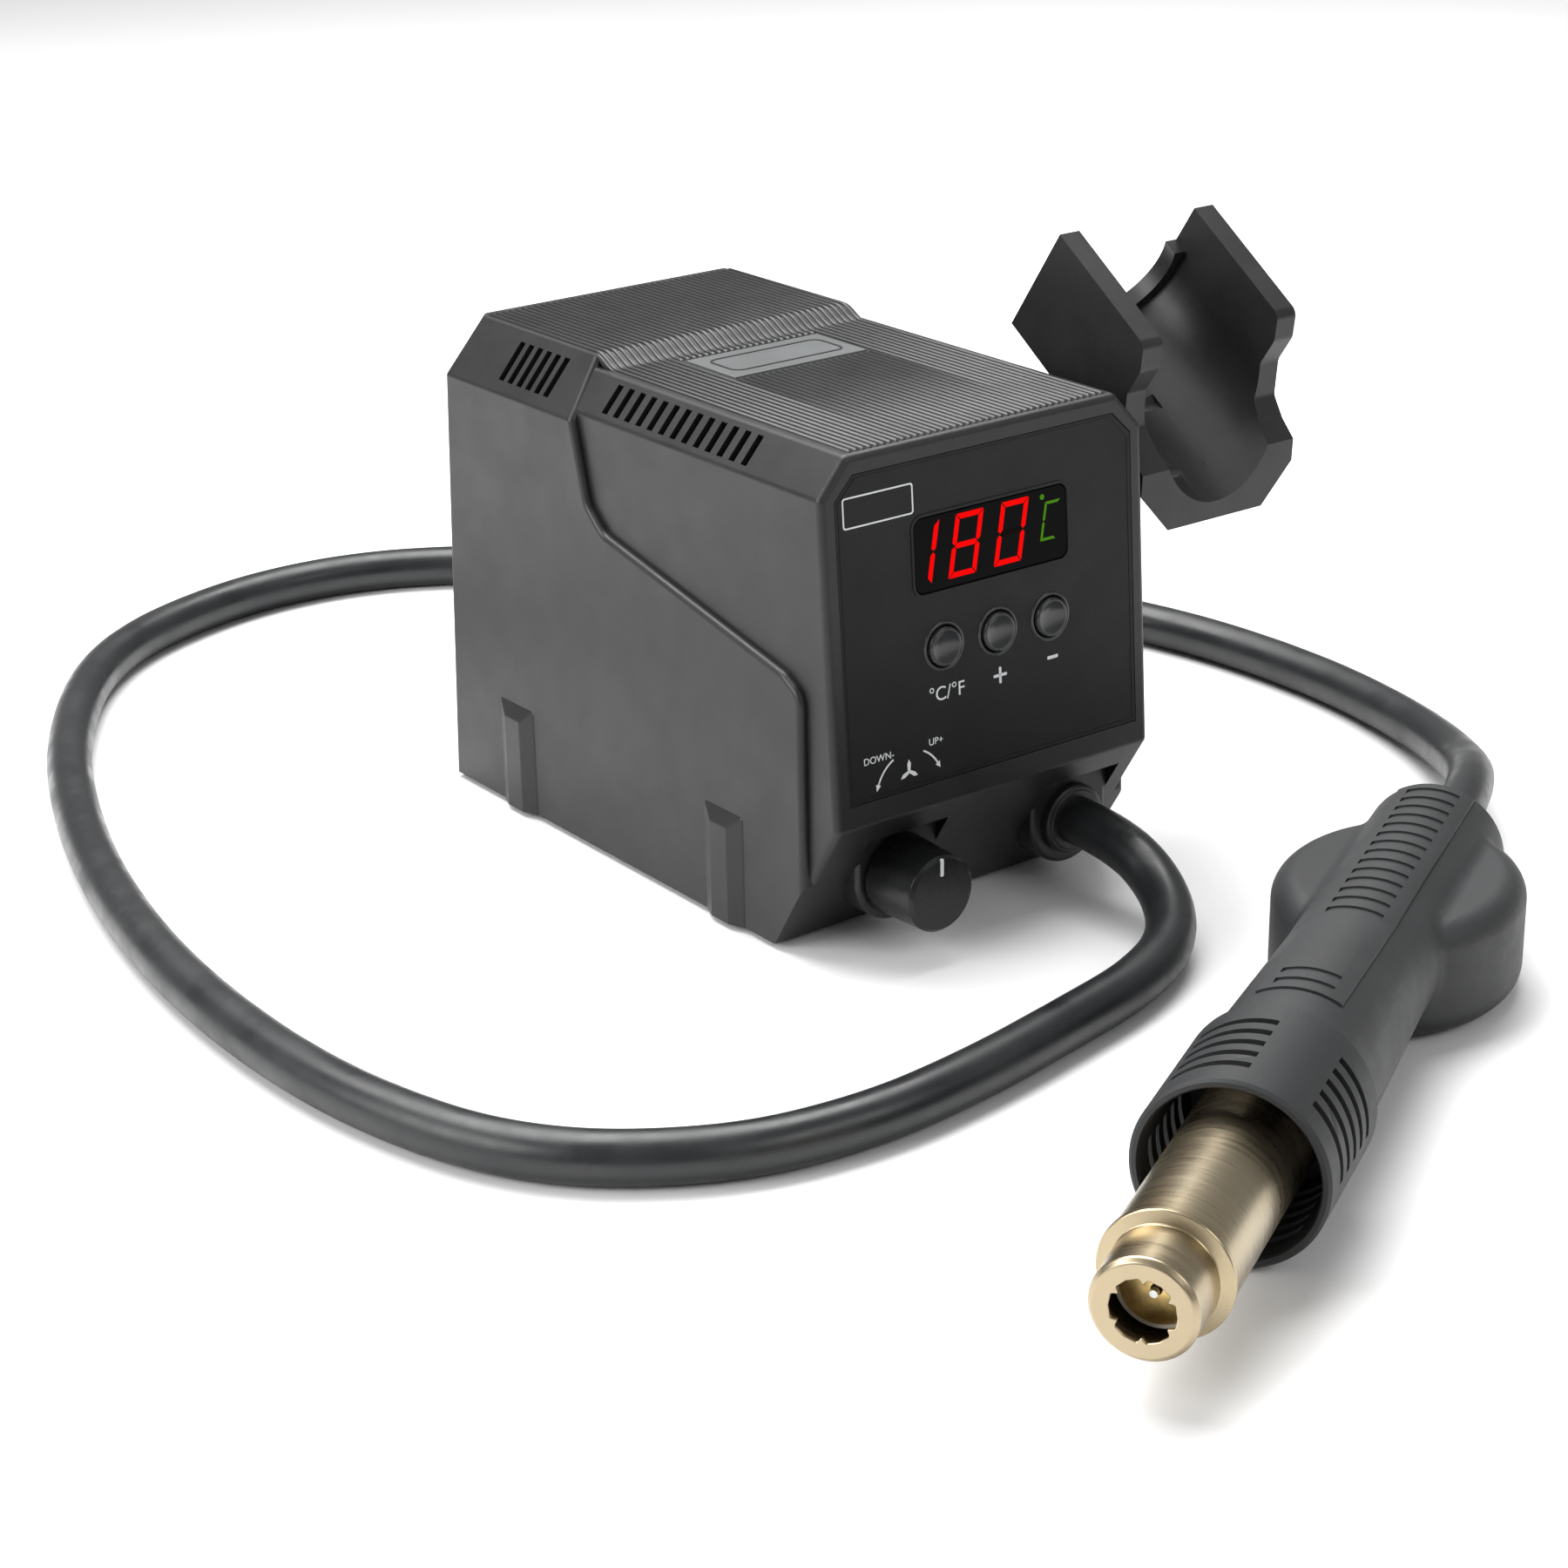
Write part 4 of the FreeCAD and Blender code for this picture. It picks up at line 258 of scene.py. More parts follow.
# ---------------------------------------------------------------- materials
class Graph:
    """A node-based material built up from a Principled shader."""

    def __init__(self, name):
        self.material = bpy.data.materials.new(name)
        self.material.use_nodes = True
        self.tree = self.material.node_tree
        self.shader = self.tree.nodes["Principled BSDF"]
        coordinates = self.add("ShaderNodeTexCoord")
        self.place = coordinates.outputs["Object"]

    def add(self, kind, **settings):
        node = self.tree.nodes.new(kind)
        for key, setting in settings.items():
            if key in node.inputs.keys():
                node.inputs[key].default_value = setting
            else:
                setattr(node, key, setting)
        return node

    def link(self, source, target):
        self.tree.links.new(source, target)

    def noise(self, scale, detail=4, roughness=0.55, stretch=None):
        texture = self.add("ShaderNodeTexNoise", Scale=scale, Detail=detail, Roughness=roughness)
        source = self.place
        if stretch is not None:
            mapping = self.add("ShaderNodeMapping")
            mapping.inputs["Scale"].default_value = stretch
            self.link(source, mapping.inputs["Vector"])
            source = mapping.outputs["Vector"]
        self.link(source, texture.inputs["Vector"])
        return texture.outputs["Fac"]

    def ramp(self, source, stops):
        ramp = self.add("ShaderNodeValToRGB")
        elements = ramp.color_ramp.elements
        while len(elements) < len(stops):
            elements.new(0.5)
        for element, (position, colour) in zip(elements, stops):
            element.position = position
            element.color = (*colour, 1)
        self.link(source, ramp.inputs["Fac"])
        return ramp.outputs["Color"]

    def level(self, source, low, high, start=0.3, end=0.7):
        span = self.add("ShaderNodeMapRange")
        self.link(source, span.inputs["Value"])
        for key, setting in (("From Min", start), ("From Max", end), ("To Min", low), ("To Max", high)):
            span.inputs[key].default_value = setting
        return span.outputs["Result"]

    def colour(self, source):
        self.link(source, self.shader.inputs["Base Color"])

    def rough(self, source):
        self.link(source, self.shader.inputs["Roughness"])

    def bump(self, source, distance, strength=1.0, previous=None):
        bump = self.add("ShaderNodeBump", Strength=strength, Distance=distance)
        self.link(source, bump.inputs["Height"])
        if previous is not None:
            self.link(previous, bump.inputs["Normal"])
        self.link(bump.outputs["Normal"], self.shader.inputs["Normal"])
        return bump.outputs["Normal"]

    def set(self, **values):
        for key, setting in values.items():
            self.shader.inputs[key.replace("_", " ")].default_value = setting


def shade(colour, share):
    return tuple(min(1.0, c * share) for c in colour)


def moulded(name, colour, rough=(0.38, 0.5), grain=2600, depth=0.00005, mottled=0.16, ior=1.5):
    """Injection-moulded plastic: a fine spark-eroded grain over faint cloudy variation."""
    graph = Graph(name)
    cloud = graph.noise(38, detail=5)
    tints = [(0.3, shade(colour, 1 - mottled)), (0.7, shade(colour, 1 + mottled))]
    graph.colour(graph.ramp(cloud, tints))
    graph.rough(graph.level(graph.noise(90, detail=6), *rough))
    grained = graph.bump(graph.noise(grain, detail=2), depth, 0.5)
    graph.bump(graph.noise(70, detail=2), 0.0003, 0.06, grained)
    graph.set(IOR=ior)
    return graph.material


def metal(name, colour, rough=(0.22, 0.36), stretch=(1, 1, 1), scale=300, depth=0.00002, tint=0.1):
    graph = Graph(name)
    lines = graph.noise(scale, detail=5, stretch=stretch)
    graph.colour(graph.ramp(lines, [(0.3, shade(colour, 1 - tint)), (0.7, shade(colour, 1 + tint))]))
    graph.rough(graph.level(graph.noise(scale * 0.4, detail=4, stretch=stretch), *rough))
    graph.bump(lines, depth, 0.4)
    graph.set(Metallic=1.0)
    return graph.material


def along_hand(graph):
    """The distance along the handpiece from its tip, in metres."""
    axis = HAND.to_3x3().col[2]
    offset = graph.add("ShaderNodeVectorMath", operation="SUBTRACT")
    offset.inputs[1].default_value = HAND.translation
    graph.link(graph.place, offset.inputs[0])
    dot = graph.add("ShaderNodeVectorMath", operation="DOT_PRODUCT")
    dot.inputs[1].default_value = axis
    graph.link(offset.outputs["Vector"], dot.inputs[0])
    return dot.outputs["Value"]


def hand_coordinates(graph, scale):
    """The handpiece's own side, up and along, each scaled."""
    turn = HAND.to_3x3().transposed()
    mapping = graph.add("ShaderNodeMapping", vector_type="POINT")
    mapping.inputs["Rotation"].default_value = turn.to_euler("XYZ")
    graph.link(graph.place, mapping.inputs["Vector"])
    stretch = graph.add("ShaderNodeVectorMath", operation="MULTIPLY")
    stretch.inputs[1].default_value = scale
    graph.link(mapping.outputs["Vector"], stretch.inputs[0])
    return stretch.outputs["Vector"]


def heated_barrel():
    """Brushed steel that heat has tinted straw, darker towards the collar."""
    graph = Graph("heated_barrel")
    lines = graph.add("ShaderNodeTexNoise", Scale=60.0, Detail=6.0, Roughness=0.7)
    graph.link(hand_coordinates(graph, (1, 1, 14)), lines.inputs["Vector"])
    along = graph.level(along_hand(graph), 0, 1, 0, 95 * MM)
    tone = graph.ramp(along, [
        (0.0, (0.44, 0.36, 0.24)), (0.17, (0.45, 0.37, 0.24)), (0.3, (0.46, 0.39, 0.27)),
        (0.55, (0.42, 0.35, 0.24)), (0.75, (0.33, 0.26, 0.17)), (1.0, (0.18, 0.14, 0.10))])
    streak = graph.ramp(lines.outputs["Fac"], [(0.3, (0.9, 0.9, 0.9)), (0.7, (1.0, 1.0, 1.0))])
    mixed = graph.add("ShaderNodeMix", data_type="RGBA", blend_type="MULTIPLY")
    mixed.inputs["Factor"].default_value = 1.0
    graph.link(tone, mixed.inputs["A"])
    graph.link(streak, mixed.inputs["B"])
    graph.colour(mixed.outputs["Result"])
    graph.rough(graph.level(lines.outputs["Fac"], 0.24, 0.34))
    graph.bump(lines.outputs["Fac"], 0.00001, 0.3)
    graph.set(Metallic=1.0)
    return graph.material


def hose_rubber():
    """Soft extruded hose: a satin skin with scuffs and pale dust."""
    graph = Graph("hose_skin")
    scuff = graph.noise(26, detail=8, roughness=0.7)
    graph.colour(graph.ramp(scuff, [(0.35, (0.007, 0.008, 0.009)), (0.62, (0.013, 0.014, 0.015)),
                                    (0.8, (0.04, 0.04, 0.04))]))
    graph.rough(graph.level(graph.noise(60, detail=7, roughness=0.65), 0.24, 0.5))
    fine = graph.bump(graph.noise(900, detail=3), 0.00003, 0.5)
    graph.bump(graph.noise(30, detail=3), 0.0006, 0.12, fine)
    graph.set(IOR=1.5)
    return graph.material


def glowing(name, colour, strength):
    graph = Graph(name)
    tone = graph.noise(900, detail=2)
    graph.colour(graph.ramp(tone, [(0.3, shade(colour, 0.02)), (0.7, shade(colour, 0.04))]))
    graph.set(Emission_Color=(*colour, 1), Emission_Strength=strength, Roughness=0.6, IOR=1.1)
    return graph.material


def printed(name, colour):
    """Screen-printed ink, with slightly uneven cover."""
    graph = Graph(name)
    graph.colour(graph.ramp(graph.noise(1500, detail=3), [(0.3, shade(colour, 0.86)), (0.7, colour)]))
    graph.rough(graph.level(graph.noise(700), 0.5, 0.65))
    return graph.material


def circuit_board():
    graph = Graph("circuit_board")
    tracks = graph.add("ShaderNodeTexBrick", Scale=260.0)
    tracks.inputs["Color1"].default_value = (0.01, 0.1, 0.035, 1)
    tracks.inputs["Color2"].default_value = (0.012, 0.13, 0.045, 1)
    tracks.inputs["Mortar"].default_value = (0.05, 0.24, 0.1, 1)
    tracks.inputs["Mortar Size"].default_value = 0.03
    graph.link(graph.place, tracks.inputs["Vector"])
    graph.colour(tracks.outputs["Color"])
    graph.rough(graph.level(graph.noise(400), 0.25, 0.4))
    graph.bump(tracks.outputs["Fac"], 0.00005, 0.3)
    return graph.material


def wound_copper():
    graph = Graph("wound_copper")
    wave = graph.add("ShaderNodeTexWave", Scale=420.0, Distortion=0.3, bands_direction="Z")
    graph.link(graph.place, wave.inputs["Vector"])
    graph.colour(graph.ramp(wave.outputs["Fac"], [(0.2, (0.25, 0.08, 0.03)), (0.7, (0.72, 0.3, 0.12))]))
    graph.bump(wave.outputs["Fac"], 0.0003, 0.7)
    graph.set(Metallic=0.8, Roughness=0.35)
    return graph.material


def window_gloss():
    graph = Graph("smoked_window")
    tints = [(0.3, (0.0012, 0.0012, 0.0014)), (0.7, (0.002, 0.002, 0.002))]
    graph.colour(graph.ramp(graph.noise(40), tints))
    graph.rough(graph.level(graph.noise(120), 0.06, 0.1))
    graph.bump(graph.noise(14, detail=1), 0.0002, 0.03)
    graph.set(IOR=1.12)
    return graph.material


MATERIALS = {
    "dark_plastic": moulded("cover_plastic", (0.0095, 0.0105, 0.0095), (0.36, 0.46), ior=1.46),
    "grip_plastic": moulded("handle_plastic", (0.0165, 0.0175, 0.0185), (0.5, 0.62), grain=1800,
                             depth=0.00007),
    "collar_plastic": moulded("collar_plastic", (0.0115, 0.0125, 0.0135), (0.52, 0.64), grain=1500,
                               depth=0.00008),
    "panel_grey": moulded("panel_film", (0.009, 0.0095, 0.009), (0.42, 0.52), grain=1500, depth=0.00008,
                          ior=1.3),
    "smoked_window": window_gloss(),
    "display": moulded("display_case", (0.02, 0.02, 0.02), (0.5, 0.6)),
    "board": circuit_board(),
    "button_grey": moulded("button_gloss", (0.022, 0.023, 0.024), (0.16, 0.24), depth=0.00001),
    "knob_gloss": moulded("knob_gloss", (0.006, 0.0065, 0.0065), (0.22, 0.32), depth=0.00001, ior=1.4),
    "tact": moulded("switch_body", (0.012, 0.012, 0.012), (0.4, 0.5)),
    "rubber_black": moulded("soft_rubber", (0.014, 0.014, 0.014), (0.6, 0.75), grain=1100, depth=0.0001),
    "hose_black": hose_rubber(),
    "steel": metal("turned_steel", (0.56, 0.56, 0.55)),
    "zinc_steel": metal("zinc_plate", (0.62, 0.63, 0.6), (0.3, 0.45), scale=120, tint=0.2),
    "brass": metal("brass", (0.72, 0.52, 0.22)),
    "barrel_steel": heated_barrel(),
    "mica": moulded("mica", (0.52, 0.44, 0.28), (0.3, 0.5), mottled=0.35),
    "ceramic": moulded("ceramic", (0.74, 0.71, 0.62), (0.55, 0.7), mottled=0.08),
    "heater_wire": metal("heater_wire", (0.25, 0.22, 0.2), (0.4, 0.55)),
    "gold_disc": metal("gold_disc", (0.78, 0.56, 0.22), (0.3, 0.45), scale=600, tint=0.2),
    "copper": wound_copper(),
    "aluminium": metal("extruded_aluminium", (0.8, 0.8, 0.8), stretch=(1, 1, 12)),
    "can": moulded("capacitor_sleeve", (0.02, 0.022, 0.06), (0.15, 0.25)),
    "magnet": metal("nickel_plate", (0.7, 0.68, 0.64), (0.12, 0.2)),
    "badge": moulded("badge_film", (0.075, 0.08, 0.08), (0.45, 0.55), grain=1500, depth=0.00006),
    "badge_line": moulded("badge_line", (0.012, 0.013, 0.013), (0.5, 0.6), ior=1.3),
    "rocker_plastic": moulded("gloss_black", (0.012, 0.012, 0.012), (0.14, 0.24), depth=0.00001),
    "ink": printed("white_ink", (0.72, 0.74, 0.76)),
    "red_light": glowing("red_light", (1.0, 0.0, 0.0), 0.95),
    "green_light": glowing("green_light", (0.1, 0.36, 0.01), 0.6),
    "dark_light": moulded("unlit_segment", (0.004, 0.001, 0.001), (0.5, 0.6), ior=1.12),
}


def dress(piece, slot, material=None):
    piece.data.materials.clear()
    piece.data.materials.append(MATERIALS[material or slot])
    return piece


SLOTS = {part["node"]: part["material_slot"] for part in record["subparts"]}
BODIES = {node: body for body, members in record["behaviour"]["bodies"].items() for node in members}
LOOKS = {"handle_upper": "grip_plastic", "handle_lower": "grip_plastic", "grip_strip": "grip_plastic",
         "guard_collar": "collar_plastic", "airflow_knob": "knob_gloss"}


def refined(node, width, segments=2, angle=32, shading=35):
    """A node's own shape with its hard edges rounded over, in place of the node."""
    work = bmesh.new()
    work.from_mesh(nodes[node].data)
    bmesh.ops.remove_doubles(work, verts=work.verts, dist=2e-6)
    bmesh.ops.dissolve_limit(work, angle_limit=math.radians(0.4), verts=work.verts, edges=work.edges)
    mesh = bpy.data.meshes.new(node + "_skin")
    work.to_mesh(mesh)
    work.free()
    for layer in [a for a in mesh.attributes if a.name in ("custom_normal", "sharp_edge", "sharp_face")]:
        mesh.attributes.remove(layer)
    if mesh.uv_layers.active:
        mesh.uv_layers.remove(mesh.uv_layers.active)
    smooth(mesh, shading)
    piece = add_object(node + "_skin", mesh, None)
    bevelled(piece, width, segments, angle)
    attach(piece, BODIES[node])
    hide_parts(node)
    slot = SLOTS[node]
    return dress(piece, slot, LOOKS.get(node))


# ---------------------------------------------------------------- hose
HOSE_LIFT = 6.3
HOSE_DIAMETER = 12.5
HOSE_START = (42.5, 17.0, 18.0)
HOSE_ROUTE = [
    (42.5, -1, 18), (40.5, -19, 10.6), (28, -35, 6.8), (6, -46, HOSE_LIFT),
    (-22, -52, HOSE_LIFT), (-52, -58, HOSE_LIFT), (-86, -61, HOSE_LIFT),
    (-121, -54, HOSE_LIFT), (-155, -27, HOSE_LIFT), (-170, 21, HOSE_LIFT),
    (-172, 78, HOSE_LIFT), (-165, 136, HOSE_LIFT), (-149, 197, HOSE_LIFT),
    (-122, 263, HOSE_LIFT), (-82, 321, HOSE_LIFT), (-30, 345, HOSE_LIFT),
    (16, 345, HOSE_LIFT), (54, 325, HOSE_LIFT), (95, 286, HOSE_LIFT),
    (136, 237, HOSE_LIFT), (168, 184, HOSE_LIFT), (186, 131, HOSE_LIFT),
    (189, 77, HOSE_LIFT), (180, 30, 7.2), (163, -4, 10.5),
]
HOSE_APPROACH_ALONG = 290     # the last straight run, along the handpiece's axis
HOSE_END_ALONG = 258
HOSE_BEND_FROM = (0.0319, -0.0306, 0)    # metres; before this the hose stays with the base
HOSE_BEND_TO = (0.0809, -0.0775, 0)      # metres; past this it goes with the handpiece


def route_line(points):
    """The smooth line of a NURBS spline with these control points."""
    curve = bpy.data.curves.new("hose_line", "CURVE")
    curve.dimensions = "3D"
    curve.resolution_u = 14
    spline = curve.splines.new("NURBS")
    spline.points.add(len(points) - 1)
    for control, point in zip(spline.points, points):
        control.co = (*point, 1)
    spline.order_u = 3
    spline.use_endpoint_u = True
    holder = bpy.data.objects.new("hose_line", curve)
    bpy.context.scene.collection.objects.link(holder)
    line = bpy.data.meshes.new_from_object(holder)
    path = [v.co.copy() for v in line.vertices]
    bpy.data.objects.remove(holder)
    bpy.data.meshes.remove(line)
    return path


def tube_along(name, path, radius, steps=28):
    """A closed tube round a path, its ring carried along without twist."""
    verts, faces = [], []
    side = None
    count = len(path)
    for i, point in enumerate(path):
        ahead = (path[min(i + 1, count - 1)] - path[max(i - 1, 0)]).normalized()
        if side is None:
            side = ahead.cross(Vector((0, 0, 1))).normalized()
        side = (side - ahead * side.dot(ahead)).normalized()
        other = ahead.cross(side)
        for k in range(steps):
            turn = 2 * math.pi * k / steps
            verts.append(point + radius * (math.cos(turn) * side + math.sin(turn) * other))
    for i in range(count - 1):
        for k in range(steps):
            a, b = i * steps, (i + 1) * steps
            j = (k + 1) % steps
            faces.append((a + k, a + j, b + j, b + k))
    faces.append(tuple(reversed(range(steps))))
    faces.append(tuple((count - 1) * steps + k for k in range(steps)))
    return mesh_from(name, verts, faces)


def make_hose():
    start = Vector(HOSE_START) * MM
    approach, end = (HAND @ Vector((0, 0, s * MM)) for s in (HOSE_APPROACH_ALONG, HOSE_END_ALONG))
    points = [start, *[Vector(p) * MM for p in HOSE_ROUTE], approach, end]
    path = route_line(points)
    mesh = tube_along("air_hose_skin", path, HOSE_DIAMETER / 2 * MM)
    smooth(mesh, 60)
    hose = add_object("air_hose_skin", mesh, None)
    dress(hose, "hose_black")
    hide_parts("air_hose")
    # the free end follows the handpiece when that is lifted
    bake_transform(hose, ROOT, "handpiece", start=HOSE_BEND_FROM, end=HOSE_BEND_TO)
    return hose


make_hose()


# ---------------------------------------------------------------- every CAD node
BEVELS = {
    "cradle": (1.3, 4, 30), "airflow_knob": (0.5, 3, 32), "hose_gland": (0.4, 2, 32),
    "front_panel": (0.15, 1, 40), "display_window": (0.2, 2, 40), "guard_collar": (0.3, 2, 40),
    "handle_upper": (0.3, 2, 50), "handle_lower": (0.3, 2, 50), "nozzle_tube": (0.25, 2, 34),
    "hose_collar": (0.5, 3, 32), "mains_inlet": (0.6, 3, 32), "switch_frame": (0.5, 3, 32),
    "power_rocker": (0.3, 2, 32), "rubber_feet": (0.5, 2, 32), "top_badge": (0.25, 2, 32),
    "chassis_plate": (0.2, 1, 40), "inlet_pins": (0.3, 2, 32), "inlet_screws": (0.2, 2, 32),
    "chassis_screws": (0.2, 2, 32), "cradle_screws": (0.3, 2, 32), "heater_disc": (0.1, 1, 32),
    "holder_magnet": (0.3, 2, 32), "grip_strip": (0.25, 2, 40), "handle_screws": (0.2, 2, 32),
}


def dress_frame():
    for node, piece in nodes.items():
        if node == "air_hose":
            continue
        if node in BEVELS:
            width, segments, angle = BEVELS[node]
            refined(node, width, segments, angle)
        else:
            dress(piece, SLOTS[node], LOOKS.get(node))


dress_frame()


# ---------------------------------------------------------------- ribs on the top
RIB_PITCH = 2.0
RIB_HALF_WIDTH = 0.72
RIB_RISE = 0.55
RIB_SPAN = 39.4
TOP_FRONT, TOP_REAR = 128.2, 131.33
RIBS_START, RIBS_END = 7.6, 162.6         # back from the base's front edge
RAMP_START, RAMP_END = 102.6, 111.0
BADGE_GAP = 1.2


def ramp_height(y):
    """The top's height along the base, with the rear section's rise rounded off."""
    share = min(1.0, max(0.0, (y - RAMP_START) / (RAMP_END - RAMP_START)))
    return TOP_FRONT + (TOP_REAR - TOP_FRONT) * share * share * (3 - 2 * share)


def make_top_ribs():
    badge_low, badge_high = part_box("top_badge")
    front_y = corner("base_cover").y / MM
    offset = Vector((_middle, front_y * MM, 0))
    badge = [(badge_low.x - _middle) / MM - BADGE_GAP, (badge_high.x - _middle) / MM + BADGE_GAP,
             badge_low.y / MM - front_y - BADGE_GAP, badge_high.y / MM - front_y + BADGE_GAP]
    ramp_steps = [RAMP_START + (RAMP_END - RAMP_START) * i / 14 for i in range(15)]
    bars = []

    def bar(x, stretch):
        rings, verts, faces = len(stretch), [], []
        profile = arc(0, 0, 1, 180, 0, 8)
        for i, y in enumerate(stretch):
            rise = RIB_RISE * (0.25 if i in (0, rings - 1) else 1)
            base_z = ramp_height(y) - 0.12
            for across, up in profile:
                verts.append((x + across * RIB_HALF_WIDTH, y, base_z + 0.12 * (up > 0.01) + up * rise))
        count = len(profile)
        for i in range(rings - 1):
            for k in range(count):
                j = (k + 1) % count
                faces.append((i * count + k, i * count + j, (i + 1) * count + j, (i + 1) * count + k))
        faces.append(tuple(range(count)))
        faces.append(tuple(reversed([(rings - 1) * count + k for k in range(count)])))
        bars.append((verts, faces))

    count = int(2 * RIB_SPAN / RIB_PITCH) + 1
    for i in range(count):
        x = (i - (count - 1) / 2) * RIB_PITCH
        tail = [RAMP_START - 1.5, *ramp_steps, RAMP_END + 1, RIBS_END - 0.5, RIBS_END]
        if badge[0] < x < badge[1]:
            bar(x, [RIBS_START, RIBS_START + 0.5, badge[2] - 0.5, badge[2]])
            bar(x, [badge[3], badge[3] + 0.5, *tail])
        else:
            bar(x, [RIBS_START, RIBS_START + 0.5, *tail])
    # the rounded rise itself, under the ribs
    profile = [(y, ramp_height(y) + 0.03) for y in (RAMP_START - 1, *ramp_steps)]
    section = [*profile, (RAMP_END, TOP_REAR - 0.6), (RAMP_START + 4, TOP_FRONT - 0.4),
               (RAMP_START - 1, TOP_FRONT - 0.4)]
    count = len(section)
    verts = [(x, y, z) for x in (-RIB_SPAN - 0.9, RIB_SPAN + 0.9) for y, z in section]
    faces = [tuple(range(count)), tuple(reversed(range(count, 2 * count)))]
    faces += [(i, (i + 1) % count, count + (i + 1) % count, count + i) for i in range(count)]
    bars.append((verts, faces))
    mesh = merged("top_ribs", bars)
    place(mesh, Matrix.Translation(offset))
    smooth(mesh, 50)
    dress(add_object("top_ribs", mesh), "dark_plastic")


make_top_ribs()


def make_badge_line():
    """A plain outline on the badge plate."""
    low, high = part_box("top_badge")
    centre = (low + high) / 2 / MM
    outer = rounded_rectangle(centre.x, centre.y, 35.5, 13.4, 3.2)
    inner = rounded_rectangle(centre.x, centre.y, 34.1, 12.0, 2.5)
    ring = frame_ring(outer, inner, high.z / MM - 0.1, high.z / MM + 0.12)
    mesh = place(merged("badge_outline", [ring]), Matrix.Identity(4))
    smooth(mesh, 30)
    dress(add_object("badge_outline", mesh), "badge", "badge_line")


make_badge_line()


# ---------------------------------------------------------------- display and marks
INK_T = 0.06                  # thickness of the print, and of a lit segment
DIGIT_H = 15.4
DIGIT_LIFT = 0.01             # the lit bars stand this far off the panel's face
DIGIT_W = 8.6
SLANT = math.tan(math.radians(11.5))
BAR = 1.35
DIGITS_V = 63.2
DIGIT_PLACES = ((-20.9, "1"), (-7.2, "8"), (7.0, "0"))
SEGMENTS = {"1": "bc", "8": "abcdefg", "0": "abcdef"}


def segment_outlines(x, v, width, height, bar):
    """The seven bars of a digit as slim hexagons, slanted."""
    w, hh, b, gap = width / 2, height / 2, bar / 2, bar * 0.14

    def level(y, upper, lower):
        """A bar across: its upper and lower edges are drawn in by these shares."""
        return [(-w + b * upper + gap, y + b), (w - b * upper - gap, y + b), (w - b - gap, y),
                (w - b * lower - gap, y - b), (-w + b * lower + gap, y - b), (-w + b + gap, y)]

    def tall(side, low, high, at_end):
        """A bar up one side; its outer edge runs to the digit's end at that end."""
        outer, inner = side * w, side * (w - 2 * b)
        y0, y1 = (low - b, high - b) if at_end < 0 else (low + b, high + b)
        end, middle = (y0 + gap, high) if at_end < 0 else (y1 - gap, low)
        step = 2 * b if at_end < 0 else -2 * b
        turn = -1 if at_end < 0 else 1
        points = [(outer, end), (inner, end + step), (inner, middle + turn * (b + gap)),
                  (side * (w - b), middle + turn * gap), (outer, middle + turn * (b + gap))]
        return points if side * at_end > 0 else points[::-1]

    top, bottom = hh - b, b - hh
    shapes = {"a": level(top, 0, 2), "g": level(0, 2, 2), "d": level(bottom, 2, 0),
              "b": tall(1, 0, top, 1), "c": tall(1, bottom, 0, -1),
              "f": tall(-1, 0, top, 1), "e": tall(-1, bottom, 0, -1)}
    return {key: [(x + px + py * SLANT, v + py) for px, py in points] for key, points in shapes.items()}


def make_display():
    lit, dark = [], []
    for x, digit in DIGIT_PLACES:
        for key, outline in segment_outlines(x, DIGITS_V, DIGIT_W, DIGIT_H, BAR).items():
            if key in SEGMENTS[digit]:
                lit.append(slab(outline, DIGIT_LIFT, INK_T))
            elif digit != "1":
                dark.append(slab(outline, DIGIT_LIFT, INK_T))
    kinds = (("lit_segments", lit, "red_light"), ("unlit_segments", dark, "dark_light"))
    for name, shapes, slot in kinds:
        mesh = place(merged(name, shapes), FRONT)
        dress(add_object(name, mesh), "display", slot)
    small = segment_outlines(19.4, 63.6, 4.9, 9.6, 0.7)
    unit = [slab(small[key], DIGIT_LIFT, INK_T) for key in "afed"]
    unit.append(slab(arc(17.0, 69.8, 0.7, 0, 340, 12), DIGIT_LIFT, INK_T))
    mesh = place(merged("unit_mark", unit), FRONT)
    dress(add_object("unit_mark", mesh), "display", "green_light")


make_display()


def lettering(name, words, x, v, size, matrix):
    curve = bpy.data.curves.new(name, "FONT")
    curve.body = words
    curve.size = size
    curve.align_x = "CENTER"
    curve.align_y = "CENTER"
    curve.extrude = INK_T / 2
    holder = bpy.data.objects.new(name, curve)
    bpy.context.scene.collection.objects.link(holder)
    mesh = bpy.data.meshes.new_from_object(holder)
    bpy.data.objects.remove(holder)
    mesh.transform(Matrix.Translation((x, v, INK_T / 2)))
    mesh.materials.clear()
    place(mesh, matrix)
    return dress(add_object(name, mesh), "panel_grey", "ink")


BUTTONS = ((-15.2, "button_unit"), (1.6, "button_plus"), (18.4, "button_minus"))
BUTTON_V = 39.4
MARK_V = 28.6
MARK_LIFT = 0.005


def arrow_arc(cx, cy, radius, start, end, width=0.45):
    """A curved arrow: an arc band with a head at its end."""
    outer = arc(cx, cy, radius + width / 2, start, end)
    inner = arc(cx, cy, radius - width / 2, start, end)
    shapes = [slab(outer + inner[::-1], MARK_LIFT, INK_T)]
    tip, way = math.radians(end), math.copysign(1, end - start)
    at = Vector((cx + radius * math.cos(tip), cy + radius * math.sin(tip)))
    ahead = Vector((-math.sin(tip), math.cos(tip))) * way
    side = Vector((-ahead.y, ahead.x))
    head = [at + ahead * 1.6, at + side * 0.75, at - side * 0.75]
    shapes.append(slab([tuple(p) for p in head], MARK_LIFT, INK_T))
    return shapes


